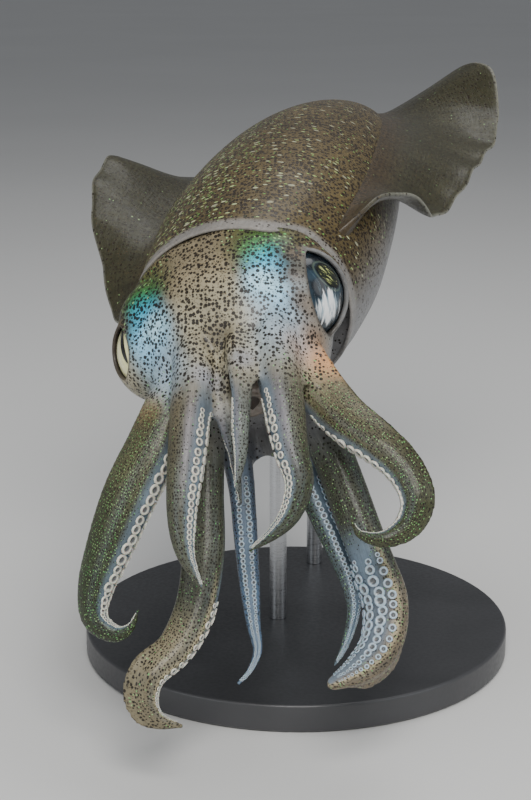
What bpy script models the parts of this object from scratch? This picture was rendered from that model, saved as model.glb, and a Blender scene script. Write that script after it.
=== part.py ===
"""Bigfin reef squid, life size, swimming with hanging arms on a plain display stand.

Metres, +Z up. The origin is the centre of the stand's underside, the squid looks towards -Y.
"""

import math

import bmesh
import bpy
from mathutils import Matrix, Vector
from mathutils.bvhtree import BVHTree

MM = 0.001
GAP = 0.0003

# Body
MANTLE_LENGTH = 0.160
MANTLE_HALF_WIDTH = 0.0335
MANTLE_HALF_DEPTH = 0.0295
COLLAR_CENTRE = Vector((-15, -38, 108)) * MM
BODY_FORWARD = Vector((-0.243, -0.948, -0.206))
BODY_LEFT = Vector((0.885, -0.303, 0.354))
COLLAR_RECESS = 0.012
COLLAR_WALL = 0.0030
COLLAR_LOBE = 0.0055

# Fins: stations along each root, as (share of its length, width in mm, lift in degrees)
FIN_START, FIN_END = 0.05, 0.985
FIN_ROOT_ANGLE = math.radians(17)
FIN_STATIONS = {
    1: [(0, 0, 20), (0.06, 6, 18), (0.13, 10, 5), (0.20, 14, -20), (0.28, 19, -46), (0.37, 23, -46),
        (0.47, 26, -36), (0.57, 29, -30), (0.67, 33, -24), (0.77, 36, -10), (0.86, 39, 8),
        (0.94, 29, 10), (1, 0, 0)],
    -1: [(0, 0, -15), (0.06, 13, -20), (0.12, 16, -8), (0.20, 19, 12), (0.28, 26, 32), (0.38, 32, 40),
         (0.50, 34, 40), (0.62, 31, 20), (0.75, 31, 5), (0.86, 32, 0), (0.94, 24, 0), (1, 0, 0)],
}
FIN_ROOT_THICKNESS = 0.0034
FIN_EDGE_THICKNESS = 0.0010
FIN_ROOT_DEPTH = 0.004

# Head
HEAD_CENTRE = Vector((-17, -46.5, 105)) * MM
HEAD_FORWARD = Vector((0.179, -0.786, -0.582))
HEAD_LEFT = Vector((0.909, -0.092, 0.404))
HEAD_HALF_WIDTH = 0.0255
HEAD_HALF_DEPTH = 0.0200
CROWN_FRONT = 0.020
NECK_SIZES = ((0.0258, 0.0226), (0.0272, 0.0240))

# Eyes
EYE_RADIUS = 0.0123
EYE_PLACE = (-0.001, 0.0186, 0.003)
EYE_LOOKS = {1: (0.64, 1.0, 0.35), -1: (0.28, 1.0, 0.72)}
EYE_WALL = 0.0011
EYE_OPENING = (0.0114, 0.0070)
EYE_SLIT = (0.66, -0.16, -0.76)
BROW_PLACE = (-0.006, 0.0155, 0.006)
BROW_RADIUS = 0.0125

# Suckers: their share of the limb's half depth, their smallest size, and how far they stand out
SUCKER_SHARE = 0.34
SUCKER_LEAST = 0.00045
SUCKER_HEIGHT = 0.75
SUCKER_SINK = 0.9

# Keel flap behind the end of each club, as a share of its half depth
FLAP = 0.7

# Colours and roughness of each kind of piece
COLOURS = {
    "mantle": ((0.20, 0.15, 0.08), 0.42),
    "fin": ((0.28, 0.27, 0.17), 0.40),
    "head": ((0.36, 0.31, 0.21), 0.40),
    "eye": ((0.75, 0.78, 0.76), 0.12),
    "arm": ((0.24, 0.25, 0.17), 0.42),
    "tentacle": ((0.30, 0.28, 0.20), 0.42),
    "funnel": ((0.50, 0.50, 0.50), 0.40),
    "mouth": ((0.45, 0.36, 0.30), 0.45),
    "stand": ((0.02, 0.02, 0.022), 0.45),
}

# Display stand
BASE_RADIUS = 0.062
BASE_HEIGHT = 0.008
ROD_RADIUS = 0.0025
ROD_BACKS = {"stand_rod_front": 0.25, "stand_rod_back": 0.56}


class Frame:
    """An origin with forward, left and up directions."""

    def __init__(self, origin, forward, left):
        self.origin = origin
        self.forward = forward.normalized()
        self.left = (left - left.project(self.forward)).normalized()
        self.up = self.forward.cross(self.left)

    def point(self, forward, left, up):
        return self.origin + self.forward * forward + self.left * left + self.up * up


BODY = Frame(COLLAR_CENTRE, BODY_FORWARD, BODY_LEFT)
HEAD = Frame(HEAD_CENTRE, HEAD_FORWARD, HEAD_LEFT)
NECK = Frame(BODY.point(0, 0, -0.0005), BODY_FORWARD + HEAD_FORWARD, BODY_LEFT + HEAD_LEFT)


# Limbs: the route's points in millimetres, each with half the limb's depth there.
# oral is the direction in which the suckers face at the root, flat the width over the depth, keel
# how far the other side narrows, and club the share of the length at which a tentacle widens.
LIMBS = {
    "arm_1_left": dict(
        route=[(-15, -61, 110, 5.0), (-16, -71, 106, 3.4), (-15, -80, 98, 2.7), (-15, -86, 91, 2.3),
               (-15, -89, 84, 1.6), (-16, -91, 77, 0.5)],
        oral=(-0.8, 0.4, 0.2), flat=0.9, keel=0.2, pairs=6),
    "arm_2_right": dict(
        route=[(-25, -57, 108, 8.0), (-26, -66, 102, 6.6), (-27, -75, 93, 5.6), (-28, -83, 83, 5.0),
               (-29, -90, 71, 3.9), (-28, -94, 62, 2.5), (-24, -96, 54, 0.5)],
        oral=(0.85, -0.6, 0.1), flat=0.88, keel=0.3, pairs=8),
    "arm_2_left": dict(
        route=[(-7, -58, 112, 8.0), (-7, -69, 105, 6.6), (-5, -79, 96, 5.6), (-3, -87, 86, 4.5),
               (-1, -91, 79, 3.7), (-3, -93, 72, 2.9), (-7, -93, 67, 1.9), (-13, -92, 62, 0.5)],
        oral=(-0.9, -0.5, 0.0), flat=0.88, keel=0.3, pairs=8),
    "arm_3_left": dict(
        route=[(-4, -54, 106, 7.5), (1, -65, 99, 7.2), (9, -75, 91, 6.6), (18, -83, 86, 5.6),
               (24, -87, 81, 5.0), (27, -91, 75, 4.5), (25, -93, 69, 3.7), (19, -95, 66, 2.4),
               (13, -97, 68, 1.3), (11, -97, 72, 0.5)],
        oral=(-0.6, -0.2, -0.75), flat=0.70, keel=0.6, pairs=8),
    "arm_3_right": dict(
        route=[(-28, -50, 104, 8.0), (-30, -61, 95, 7.6), (-36, -70, 83, 7.4), (-42, -75, 71, 7.6),
               (-47, -78, 59, 6.6), (-51, -80, 48, 5.0), (-51, -83, 41, 3.6), (-46, -85, 38, 2.5),
               (-42, -86, 40, 1.4), (-40, -86, 45, 0.5)],
        oral=(0.85, -0.5, -0.3), flat=0.68, keel=0.6, pairs=8),
    "tentacle_left": dict(
        route=[(0, -52, 94, 7.0), (5, -60, 84, 6.4), (10, -67, 73, 6.2), (14, -73, 63, 6.2),
               (18, -77, 53, 6.0), (21, -80, 44, 5.6), (20, -85, 36, 5.2), (15, -89, 31, 4.2),
               (7, -93, 28, 1.7)],
        oral=(-0.6, -0.75, 0.1), flat=0.85, keel=0.4, pairs=6, club=0.55),
    "tentacle_right": dict(
        route=[(-24, -52, 92, 6.5), (-24, -60, 81, 5.8), (-24, -69, 69, 5.6), (-24, -76, 56, 5.9),
               (-26, -82, 44, 5.5), (-31, -87, 35, 4.8), (-37, -92, 30, 3.9), (-38, -94, 24, 3.3),
               (-35, -96, 20, 2.2), (-29, -97, 19, 0.6)],
        oral=(0.85, 0.4, 0.0), flat=0.85, keel=0.4, pairs=6, club=0.57),
    "arm_4_left": dict(
        route=[(-6, -49, 90, 6.5), (-3, -55, 81, 5.2), (1, -60, 71, 4.2), (5, -65, 62, 3.6),
               (9, -69, 54, 3.2), (12, -73, 47, 2.6), (13, -77, 41, 2.0), (11, -81, 34, 1.3),
               (8, -84, 29, 0.5)],
        oral=(0.5, -0.85, 0.0), flat=0.9, keel=0.3, pairs=8),
    "arm_4_right": dict(
        route=[(-17, -47, 91, 6.0), (-17, -53, 80, 4.4), (-15, -61, 67, 3.4), (-14, -66, 56, 3.1),
               (-13, -70, 45, 2.6), (-12, -74, 36, 1.9), (-11, -77, 30, 1.3), (-13, -78, 25, 0.9),
               (-16, -79, 22, 0.5)],
        oral=(0.0, -1.0, 0.0), flat=1.0, keel=0.2, pairs=8),
    "arm_1_right": dict(
        route=[(-19, -59, 107, 5.0), (-20, -66, 101, 3.4), (-18, -73, 93, 2.3), (-17, -77, 85, 1.8),
               (-16, -78, 77, 1.2), (-15, -78, 69, 0.5)],
        oral=(-0.7, 0.6, 0.0), flat=0.9, keel=0.2, pairs=5),
}


def smooth_step(value, low, high):
    """0 below low, 1 above high, and an even ease between them."""
    t = min(max((value - low) / (high - low), 0.0), 1.0)
    return t * t * (3 - 2 * t)


def along(points, t):
    """The point at t, 0 to 1, on a smooth curve through evenly counted points."""
    last = len(points) - 1
    place = min(max(t, 0.0), 1.0) * last
    i = min(int(place), last - 1)
    f = place - i
    a, b, c, d = (points[min(max(k, 0), last)] for k in (i - 1, i, i + 1, i + 2))
    bend = 2 * a - 5 * b + 4 * c - d
    return 0.5 * (2 * b + (c - a) * f + bend * f ** 2 + (3 * b - a - 3 * c + d) * f ** 3)


def station(table, t):
    """The values after the first column of a table, eased between the rows on each side of t."""
    rows = [Vector(row) for row in table]
    i = max(k for k in range(len(rows) - 1) if k == 0 or rows[k][0] <= t)
    f = min(max((t - rows[i][0]) / (rows[i + 1][0] - rows[i][0]), 0.0), 1.0)
    span = rows[i + 1][0] - rows[i][0]
    slopes = []
    for k in (i, i + 1):
        before, after = rows[max(k - 1, 0)], rows[min(k + 1, len(rows) - 1)]
        slopes.append((after - before) / (after[0] - before[0]) * span)
    mixed = ((2 * f ** 3 - 3 * f ** 2 + 1) * rows[i] + (f ** 3 - 2 * f ** 2 + f) * slopes[0]
             + (3 * f ** 2 - 2 * f ** 3) * rows[i + 1] + (f ** 3 - f ** 2) * slopes[1])
    return tuple(mixed)[1:]


def loft(rings, start=None, end=None):
    """A closed skin over rings of equal count. A given start or end point closes that end as a fan."""
    bm = bmesh.new()
    rows = [[bm.verts.new(p) for p in ring] for ring in rings]
    count = len(rows[0])
    for low, high in zip(rows, rows[1:]):
        for k in range(count):
            n = (k + 1) % count
            bm.faces.new((low[k], low[n], high[n], high[k]))
    for row, tip in ((rows[0], start), (rows[-1], end)):
        if tip is None:
            bm.faces.new(row)
            continue
        centre = bm.verts.new(tip)
        for k in range(count):
            bm.faces.new((row[k], row[(k + 1) % count], centre))
    return bm


def finish(bm, name):
    """Turns a bmesh into a triangulated object whose faces point outwards."""
    bmesh.ops.triangulate(bm, faces=bm.faces)
    bmesh.ops.recalc_face_normals(bm, faces=bm.faces)
    mesh = bpy.data.meshes.new(name)
    bm.to_mesh(mesh)
    bm.free()
    obj = bpy.data.objects.new(name, mesh)
    SQUID.objects.link(obj)
    return obj


def drop(obj):
    """Removes a helper object together with its mesh."""
    mesh = obj.data
    bpy.data.objects.remove(obj)
    bpy.data.meshes.remove(mesh)


def keep_largest(obj):
    """Leaves only the closed surface with the most volume in an object."""
    bm = bmesh.new()
    bm.from_mesh(obj.data)
    bmesh.ops.triangulate(bm, faces=bm.faces)
    unseen = set(bm.faces)
    shells = []
    while unseen:
        todo = [unseen.pop()]
        shell = []
        while todo:
            face = todo.pop()
            shell.append(face)
            for edge in face.edges:
                for other in edge.link_faces:
                    if other in unseen:
                        unseen.remove(other)
                        todo.append(other)
        shells.append(shell)

    def volume(shell):
        return abs(sum(f.verts[0].co.dot(f.verts[1].co.cross(f.verts[2].co)) for f in shell))

    best = set(max(shells, key=volume))
    bmesh.ops.delete(bm, geom=[f for f in bm.faces if f not in best], context="FACES")
    bm.to_mesh(obj.data)
    bm.free()


def combine(obj, operation, others):
    """Applies one Boolean of all the others to obj, and removes them."""
    cutters = bpy.data.collections.new("joined")
    HELPERS.children.link(cutters)
    for other in others:
        SQUID.objects.unlink(other)
        cutters.objects.link(other)
    modifier = obj.modifiers.new("combine", "BOOLEAN")
    modifier.operation = operation
    modifier.operand_type = "COLLECTION"
    modifier.collection = cutters
    for solver in ("EXACT", "MANIFOLD"):
        modifier.solver = solver
        mesh = bpy.data.meshes.new_from_object(obj.evaluated_get(bpy.context.evaluated_depsgraph_get()))
        if is_closed(mesh):
            break
    obj.modifiers.remove(modifier)
    old = obj.data
    obj.data = mesh
    bpy.data.meshes.remove(old)
    mesh.name = obj.name
    for other in others:
        drop(other)
    bpy.data.collections.remove(cutters)
    keep_largest(obj)


def grown(obj, distance):
    """A copy of an object with its surface moved outwards."""
    bm = bmesh.new()
    bm.from_mesh(obj.data)
    bm.normal_update()
    steps = {}
    for vert in bm.verts:
        normal = sum((f.normal * f.calc_area() for f in vert.link_faces), Vector()).normalized()
        lean = min((normal.dot(f.normal) for f in vert.link_faces), default=1.0)
        steps[vert] = normal * distance / max(lean, 0.5)
    for vert, step in steps.items():
        vert.co += step
    return finish(bm, obj.name + "_grown")


def carve(obj, *neighbours):
    """Cuts an object clear of its neighbours by the gap that touching pieces keep."""
    for other in neighbours:
        combine(obj, "DIFFERENCE", [grown(other, GAP)])


def is_closed(mesh):
    """Whether a mesh has faces, and two at each edge."""
    bm = bmesh.new()
    bm.from_mesh(mesh)
    closed = len(bm.faces) > 3 and all(len(e.link_faces) == 2 for e in bm.edges)
    bm.free()
    return closed


def material(obj, colour, roughness):
    """Gives an object its own material."""
    mat = bpy.data.materials.new(obj.name)
    mat.use_nodes = True
    shader = mat.node_tree.nodes["Principled BSDF"]
    shader.inputs["Base Color"].default_value = (*colour, 1.0)
    shader.inputs["Roughness"].default_value = roughness
    mat.diffuse_color = (*colour, 1.0)
    obj.data.materials.clear()
    obj.data.materials.append(mat)


# Mantle

def mantle_swell(s):
    """How full the mantle is at s, 0 at the collar to 1 at the tail, as a share of its widest."""
    return (1 - s ** 2.7) ** 0.78 * (0.92 + 0.08 * smooth_step(s, 0.0, 0.22))


def mantle_point(s, angle, grow=0.0, scale=1.0):
    """A point of the mantle's skin, with the angle counted from the squid's left over its back."""
    swell = mantle_swell(min(s, 0.998)) * scale
    side = math.cos(angle) * (MANTLE_HALF_WIDTH * swell + grow)
    rise = math.sin(angle) * (MANTLE_HALF_DEPTH * swell + grow)
    back = s * MANTLE_LENGTH
    arch = 0.004 * math.sin(math.pi * s)
    return BODY.point(-back, side, rise + arch)


def collar_reach(angle):
    """How far the collar's edge reaches forwards: a lobe over the nape, and a bay under the funnel."""
    lobe = COLLAR_LOBE * smooth_step(math.sin(angle), 0.55, 0.86)
    bay = 0.004 * smooth_step(-math.sin(angle), 0.5, 0.95)
    return lobe - bay


def make_mantle():
    sides = 24
    angles = [2 * math.pi * k / sides for k in range(sides)]
    places = [0.0, 0.035, 0.09, 0.17, 0.27, 0.38, 0.49, 0.60, 0.70, 0.79, 0.87, 0.935, 0.98]
    recess = COLLAR_RECESS / MANTLE_LENGTH
    rings = []
    thin = 1 - COLLAR_WALL / MANTLE_HALF_DEPTH
    for s, scale in ((recess, thin * 0.97), (0.0, thin)):
        lobes = [BODY.forward * collar_reach(a) * (s == 0.0) for a in angles]
        rings.append([mantle_point(s, a, scale=scale) + lobe for a, lobe in zip(angles, lobes)])
    for s in places:
        ease = 1 - smooth_step(s, 0.0, 0.14)
        rings.append([mantle_point(s, a) + BODY.forward * collar_reach(a) * ease for a in angles])
    floor = BODY.point(-COLLAR_RECESS, 0, 0)
    tail = BODY.point(-MANTLE_LENGTH, 0, 0)
    return finish(loft(rings, floor, tail), "mantle")


# Fins

def fin_point(side, t, out):
    """A point in the fin's middle surface: out runs from 0 at the root to 1 at the edge."""
    s = FIN_START + (FIN_END - FIN_START) * t
    angle = FIN_ROOT_ANGLE if side > 0 else math.pi - FIN_ROOT_ANGLE
    root = mantle_point(s, angle, grow=-FIN_ROOT_DEPTH)
    width, lift = station(FIN_STATIONS[side], t)
    reach = (width * MM + FIN_ROOT_DEPTH + 0.001) * out
    bend = math.radians(lift) * smooth_step(out, -0.6, 0.9)
    away = BODY.left * side * math.cos(bend) + BODY.up * math.sin(bend)
    return root + away * reach


def make_fin(side, name):
    steps, lanes = 22, 4
    grid = [[fin_point(side, i / steps, j / lanes) for j in range(lanes + 1)] for i in range(steps + 1)]
    bm = bmesh.new()
    top, low = [], []
    for i in range(steps + 1):
        upper, under = [], []
        for j in range(lanes + 1):
            ahead, behind = grid[max(i - 1, 0)][j], grid[min(i + 1, steps)][j]
            inner, outer = grid[i][max(j - 1, 0)], grid[i][min(j + 1, lanes)]
            normal = (behind - ahead).cross(outer - inner).normalized() * side
            thinning = (FIN_EDGE_THICKNESS - FIN_ROOT_THICKNESS) * (j / lanes) ** 0.7
            half = 0.5 * (FIN_ROOT_THICKNESS + thinning)
            upper.append(bm.verts.new(grid[i][j] - normal * half))
            under.append(bm.verts.new(grid[i][j] + normal * half))
        top.append(upper)
        low.append(under)
    for i in range(steps):
        for j in range(lanes):
            for sheet in (top, low):
                a, b, c, d = sheet[i][j], sheet[i + 1][j], sheet[i + 1][j + 1], sheet[i][j + 1]
                bm.faces.new((a, b, c))
                bm.faces.new((a, c, d))
    for i in range(steps):
        for j in (0, lanes):
            bm.faces.new((top[i][j], top[i + 1][j], low[i + 1][j], low[i][j]))
    for i in (0, steps):
        for j in range(lanes):
            bm.faces.new((top[i][j], top[i][j + 1], low[i][j + 1], low[i][j]))
    return finish(bm, name)


# Head

def eye_frame(side):
    """The eye's centre and the direction in which it looks."""
    ahead, aside, above = EYE_LOOKS[side]
    look = (HEAD.forward * ahead + HEAD.left * aside * side + HEAD.up * above).normalized()
    ahead, aside, above = EYE_PLACE
    return HEAD.point(ahead, aside * side, above), look


def oval_ring(frame, forward, half_width, half_depth, rise, sides=20):
    """One section across a frame, a little boxy, at a distance ahead of its origin."""
    ring = []
    for k in range(sides):
        angle = 2 * math.pi * k / sides
        c, s = math.cos(angle), math.sin(angle)
        c = math.copysign(abs(c) ** 0.9, c)
        s = math.copysign(abs(s) ** 0.9, s)
        ring.append(frame.point(forward, c * half_width, s * half_depth + rise))
    return ring


def ball(name, centre, radius, segments=16, rings=10, look=None, stretch=(1, 1, 1)):
    """A sphere, drawn out along its own axes when it is given a direction to look in."""
    bm = bmesh.new()
    turn = look.to_track_quat("Z", "Y").to_matrix().to_4x4() if look else Matrix()
    place = Matrix.Translation(centre) @ turn @ Matrix.Diagonal((*stretch, 1))
    bmesh.ops.create_uvsphere(bm, u_segments=segments, v_segments=rings, radius=radius, matrix=place)
    return finish(bm, name)


def make_eye(side, name):
    centre, look = eye_frame(side)
    return ball(name, centre, EYE_RADIUS, look=look)


def make_eye_opening(side):
    """The cutter for the opening between an eye's lids: a long oval along its look."""
    centre, look = eye_frame(side)
    slit = HEAD.forward * EYE_SLIT[0] + HEAD.left * EYE_SLIT[1] * side + HEAD.up * EYE_SLIT[2]
    slit = (slit - slit.project(look)).normalized()
    across = slit.cross(look)
    sides = 16
    rings = []
    for out, size in ((0.2, 0.95), (1.0, 1.0), (1.7, 1.15)):
        ring = []
        for k in range(sides):
            a = 2 * math.pi * k / sides
            spread = across * math.cos(a) * EYE_OPENING[1] + slit * math.sin(a) * EYE_OPENING[0]
            ring.append(centre + look * EYE_RADIUS * out + spread * size)
        rings.append(ring)
    return finish(loft(rings), "eye_opening")


def make_head(mantle, eyes, funnel):
    w, d = HEAD_HALF_WIDTH, HEAD_HALF_DEPTH
    sections = [
        (BODY, GAP - COLLAR_RECESS, *NECK_SIZES[0], 0.0),
        (NECK, -0.002, *NECK_SIZES[1], 0.0),
        (HEAD, -0.003, 1.03 * w, 1.10 * d, 0.0),
        (HEAD, 0.004, 1.00 * w, 1.03 * d, 0.0005),
        (HEAD, 0.010, 0.94 * w, 0.95 * d, 0.0),
        (HEAD, 0.85 * CROWN_FRONT, 0.80 * w, 0.80 * d, -0.0010),
        (HEAD, CROWN_FRONT, 0.60 * w, 0.60 * d, -0.0015),
    ]
    head = finish(loft([oval_ring(*s) for s in sections]), "head")
    bulges = []
    for side in (1, -1):
        centre, look = eye_frame(side)
        bulges.append(ball("eye_bulge", centre, EYE_RADIUS + EYE_WALL, look=look, stretch=(1.12, 1.12, 1)))
        ahead, aside, above = BROW_PLACE
        bulges.append(ball("brow", HEAD.point(ahead, aside * side, above), BROW_RADIUS))
    combine(head, "UNION", bulges)
    combine(head, "DIFFERENCE", [make_eye_opening(1), make_eye_opening(-1)])
    carve(head, mantle, funnel, *eyes)
    return head


def make_funnel():
    """The funnel in its groove under the head: a short bent cone, open at the front."""
    sides = 14

    def ring(ahead, below, radius):
        return [HEAD.point(ahead, 1.25 * radius * math.cos(2 * math.pi * k / sides),
                           radius * math.sin(2 * math.pi * k / sides) - below) for k in range(sides)]

    outside = [(-0.003, 0.0150, 0.0050), (0.003, 0.0172, 0.0052), (0.008, 0.0190, 0.0048),
               (0.013, 0.0208, 0.0043), (0.018, 0.0226, 0.0036)]
    bore = [(0.018, 0.0226, 0.0026), (0.010, 0.0198, 0.0024)]
    return finish(loft([ring(*sizes) for sizes in outside + bore]), "funnel")


def make_mouth():
    """The mouth between the arms: a low lip around a small beak."""
    sides = 14
    profile = [(-0.004, 0.0070), (0.001, 0.0068), (0.003, 0.0050), (0.0024, 0.0030), (0.0022, 0.0022)]
    rings = []
    for forward, radius in profile:
        rings.append([HEAD.point(CROWN_FRONT + forward, radius * math.cos(2 * math.pi * k / sides),
                                 radius * math.sin(2 * math.pi * k / sides) - 0.001) for k in range(sides)])
    return finish(loft(rings, end=HEAD.point(CROWN_FRONT + 0.0052, 0, -0.001)), "mouth")


# Arms and tentacles

class Limb:
    """A limb's centre line, its half depth and the directions across it."""

    def __init__(self, name, route, oral, flat, keel, pairs, club=None):
        self.name, self.flat, self.keel, self.pairs, self.club = name, flat, keel, pairs, club
        self.split = club or 0.5
        self.points = [Vector(p[:3]) * MM for p in route]
        self.depths = [p[3] * MM for p in route]
        steps = 200
        samples = [along(self.points, k / steps) for k in range(steps + 1)]
        self.length = sum((b - a).length for a, b in zip(samples, samples[1:]))
        self.frames = []
        facing = Vector(oral)
        run = 0.0
        for k, place in enumerate(samples):
            ahead = samples[min(k + 1, steps)] - samples[max(k - 1, 0)]
            ahead.normalize()
            facing = (facing - facing.project(ahead)).normalized()
            run += (place - samples[max(k - 1, 0)]).length
            depth = along(self.depths, k / steps)
            self.frames.append((run / self.length, place, ahead, facing.copy(), depth))

    def at(self, t):
        """Place, direction, oral direction and half depth at a share of the limb's length."""
        for low, high in zip(self.frames, self.frames[1:]):
            if high[0] >= t:
                f = (t - low[0]) / max(high[0] - low[0], 1e-9)
                return tuple(a + (b - a) * f for a, b in zip(low[1:], high[1:]))
        return self.frames[-1][1:]

    def fullness(self, t):
        """Width over depth, which grows in a club."""
        if self.club is None:
            return self.flat
        return self.flat * (1 + 0.25 * smooth_step(t, self.club - 0.05, self.club + 0.15))

    def flap(self, t):
        """How far the keel stands out behind the end of a club, as a share of the half depth."""
        if self.club is None:
            return 0.0
        return FLAP * smooth_step(t, 0.70, 0.86) * (1 - smooth_step(t, 0.90, 0.97))

    def ring(self, t, sides, grow=0.0):
        """A section: blunt with raised edges on the oral side, keeled on the other."""
        place, ahead, oral, depth = self.at(t)
        across = ahead.cross(oral)
        wide = depth * self.fullness(t) + grow
        deep = depth + grow
        points = []
        for k in range(sides):
            a = 2 * math.pi * (k + 0.5) / sides
            x, y = math.cos(a), math.sin(a)
            if y > 0:
                x, y = x * (1 + 0.12 * y), 0.82 * y
            else:
                x *= 1 - self.keel * y * y
                y *= 1 + self.flap(t) * math.exp(-(x / 0.25) ** 2)
            points.append(place + across * x * wide + oral * y * deep)
        return points

    def body(self, part, grow=0.0, sides=10, step=0.0055):
        """The plain root or tip of the limb. A grown one is a cutter that leaves a gap around it."""
        half_gap = 0.5 * GAP / self.length
        start, end = (0.0, self.split - half_gap) if part == "root" else (self.split + half_gap, 1.0)
        count = max(3, round((end - start) * self.length / step))
        rings = [self.ring(start + (end - start) * k / count, sides, grow) for k in range(count + 1)]
        rings[0] = [p - self.at(start)[1] * grow for p in rings[0]]
        rings[-1] = [p + self.at(end)[1] * grow for p in rings[-1]]
        tip = None
        if end >= 1.0:
            place, ahead, _, depth = self.at(1.0)
            tip = place + ahead * (depth + 2 * grow)
        return finish(loft(rings, end=tip), f"{self.name}_{part}")

    def sucker(self, t, row, radius, sides):
        """One cup set on the oral face: row runs from -1 to 1 across it."""
        place, ahead, oral, depth = self.at(t)
        across = ahead.cross(oral)
        foot = place + oral * depth * 0.80 + across * row * depth * self.fullness(t) * 0.55
        out = (oral + across * row * 0.45).normalized()
        side = ahead.cross(out)
        rings = []
        for lift, spread in ((-SUCKER_SINK, 0.75), (SUCKER_HEIGHT, 1.0)):
            centre = foot + out * radius * lift
            rings.append([centre + (ahead * math.cos(a) + side * math.sin(a)) * radius * spread
                          for a in (2 * math.pi * k / sides for k in range(sides))])
        return finish(loft(rings, end=foot + out * radius * 0.15), "sucker")

    def cups(self, start, end, others):
        """The cups between two shares of the run, in two rows, or four in a club, clear of other pieces."""
        rows = (-0.95, -0.3, 0.3, 0.95) if self.club else (-0.7, 0.7)
        first = self.club + 0.03 if self.club else 0.22
        count = self.pairs
        cups = []
        for k in range(count):
            t = first + (0.985 - first) * (k / count) ** 0.9
            for n, row in enumerate(rows):
                place = t + (0.985 - first) * (n % 2) * 0.5 / count
                depth = self.at(place)[3]
                radius = max(SUCKER_LEAST, SUCKER_SHARE * depth * (0.8 if self.club else 1.0))
                margin = 1.4 * radius / self.length
                if not start + margin < place < min(end, 0.985) - margin:
                    continue
                cup = self.sucker(place, row, radius, 5)
                if all(clear(cup, other) for other in others):
                    cups.append(cup)
                else:
                    drop(cup)
        return cups


def clear(piece, tree):
    """Whether a small piece keeps clear of a surface, given as a search tree."""
    for vert in piece.data.vertices:
        hit, _, _, distance = tree.find_nearest(vert.co)
        if hit is not None and distance < 2 * GAP:
            return False
    return True


def surface(obj):
    """A search tree of an object's faces."""
    bm = bmesh.new()
    bm.from_mesh(obj.data)
    tree = BVHTree.FromBMesh(bm)
    bm.free()
    return tree


def add_cups(limbs, solids):
    """Joins each limb's cups to it, where they keep clear of every other piece."""
    for limb, root, tip in limbs:
        for piece, start, end in ((root, 0.0, limb.split), (tip, limb.split, 1.0)):
            if limb.club and piece is root:
                continue
            others = [surface(s) for s in solids if s is not piece and near(piece, s)]
            cups = limb.cups(start, end, others)
            if cups:
                combine(piece, "UNION", cups)


def make_limbs(head, others):
    """Every limb in two lengths, root and tip, cut clear of the head, the others and the limbs before it."""
    made = []
    for name, sizes in LIMBS.items():
        limb = Limb(name, **sizes)
        pieces = [limb.body("root"), limb.body("tip")]
        carve(pieces[0], head, *[other for other in others if near(pieces[0], other)])
        for piece in pieces:
            for before, _, _ in made:
                for part in ("root", "tip"):
                    cutter = before.body(part, grow=1.3 * GAP)
                    if near(piece, cutter):
                        combine(piece, "DIFFERENCE", [cutter])
                    else:
                        drop(cutter)
        made.append((limb, *pieces))
    return made


def make_stand(mantle):
    """A round base with two rods up to the mantle's underside."""
    bm = bmesh.new()
    bmesh.ops.create_cone(bm, cap_ends=True, segments=64, radius1=BASE_RADIUS, radius2=BASE_RADIUS,
                          depth=BASE_HEIGHT, matrix=Matrix.Translation((0, 0, BASE_HEIGHT / 2)))
    parts = [finish(bm, "stand_base")]
    for name, back in ROD_BACKS.items():
        foot = BODY.point(-back * MANTLE_LENGTH, 0, 0)
        low, high = BASE_HEIGHT + GAP, foot.z
        bm = bmesh.new()
        place = Matrix.Translation((foot.x, foot.y, (low + high) / 2))
        bmesh.ops.create_cone(bm, cap_ends=True, segments=16, radius1=ROD_RADIUS, radius2=ROD_RADIUS,
                              depth=high - low, matrix=place)
        rod = finish(bm, name)
        carve(rod, mantle)
        parts.append(rod)
    return parts


def main():
    mantle = make_mantle()
    eyes = [make_eye(1, "eye_left"), make_eye(-1, "eye_right")]
    funnel = make_funnel()
    for piece in (*eyes, funnel):
        carve(piece, mantle)
    head = make_head(mantle, eyes, funnel)
    fins = [make_fin(1, "fin_left"), make_fin(-1, "fin_right")]
    for fin in fins:
        carve(fin, mantle)
    limbs = make_limbs(head, [*eyes, funnel])
    solids = [head] + [piece for _, root, tip in limbs for piece in (root, tip)]
    mouth = make_mouth()
    carve(mouth, *[s for s in solids if near(mouth, s)])
    solids += eyes + [mouth]
    add_cups(limbs, solids)
    make_stand(mantle)
    for obj in SQUID.objects:
        material(obj, *COLOURS.get(obj.name.split("_")[0], COLOURS["arm"]))


def near(a, b):
    """Whether two objects' boxes come within a millimetre of each other."""
    def box(obj):
        points = [v.co for v in obj.data.vertices]
        return [(min(p[i] for p in points), max(p[i] for p in points)) for i in range(3)]
    return all(p[0] - 0.001 < q[1] and q[0] - 0.001 < p[1] for p, q in zip(box(a), box(b)))


for old in list(bpy.data.objects):
    bpy.data.objects.remove(old)
SQUID = bpy.data.collections.new("bigfin_reef_squid")
HELPERS = bpy.data.collections.new("helpers")
for group in (SQUID, HELPERS):
    bpy.context.scene.collection.children.link(group)
main()
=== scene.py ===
"""Looks of the life-size bigfin reef squid: skins, eyes, suckers, finishes, light and camera.

Metres, +Z up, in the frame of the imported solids. The squid looks towards -Y.
"""

import math
import random

import bmesh
import bpy
from mathutils import Matrix, Vector, noise
from mathutils.bvhtree import BVHTree
from mathutils.kdtree import KDTree


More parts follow.
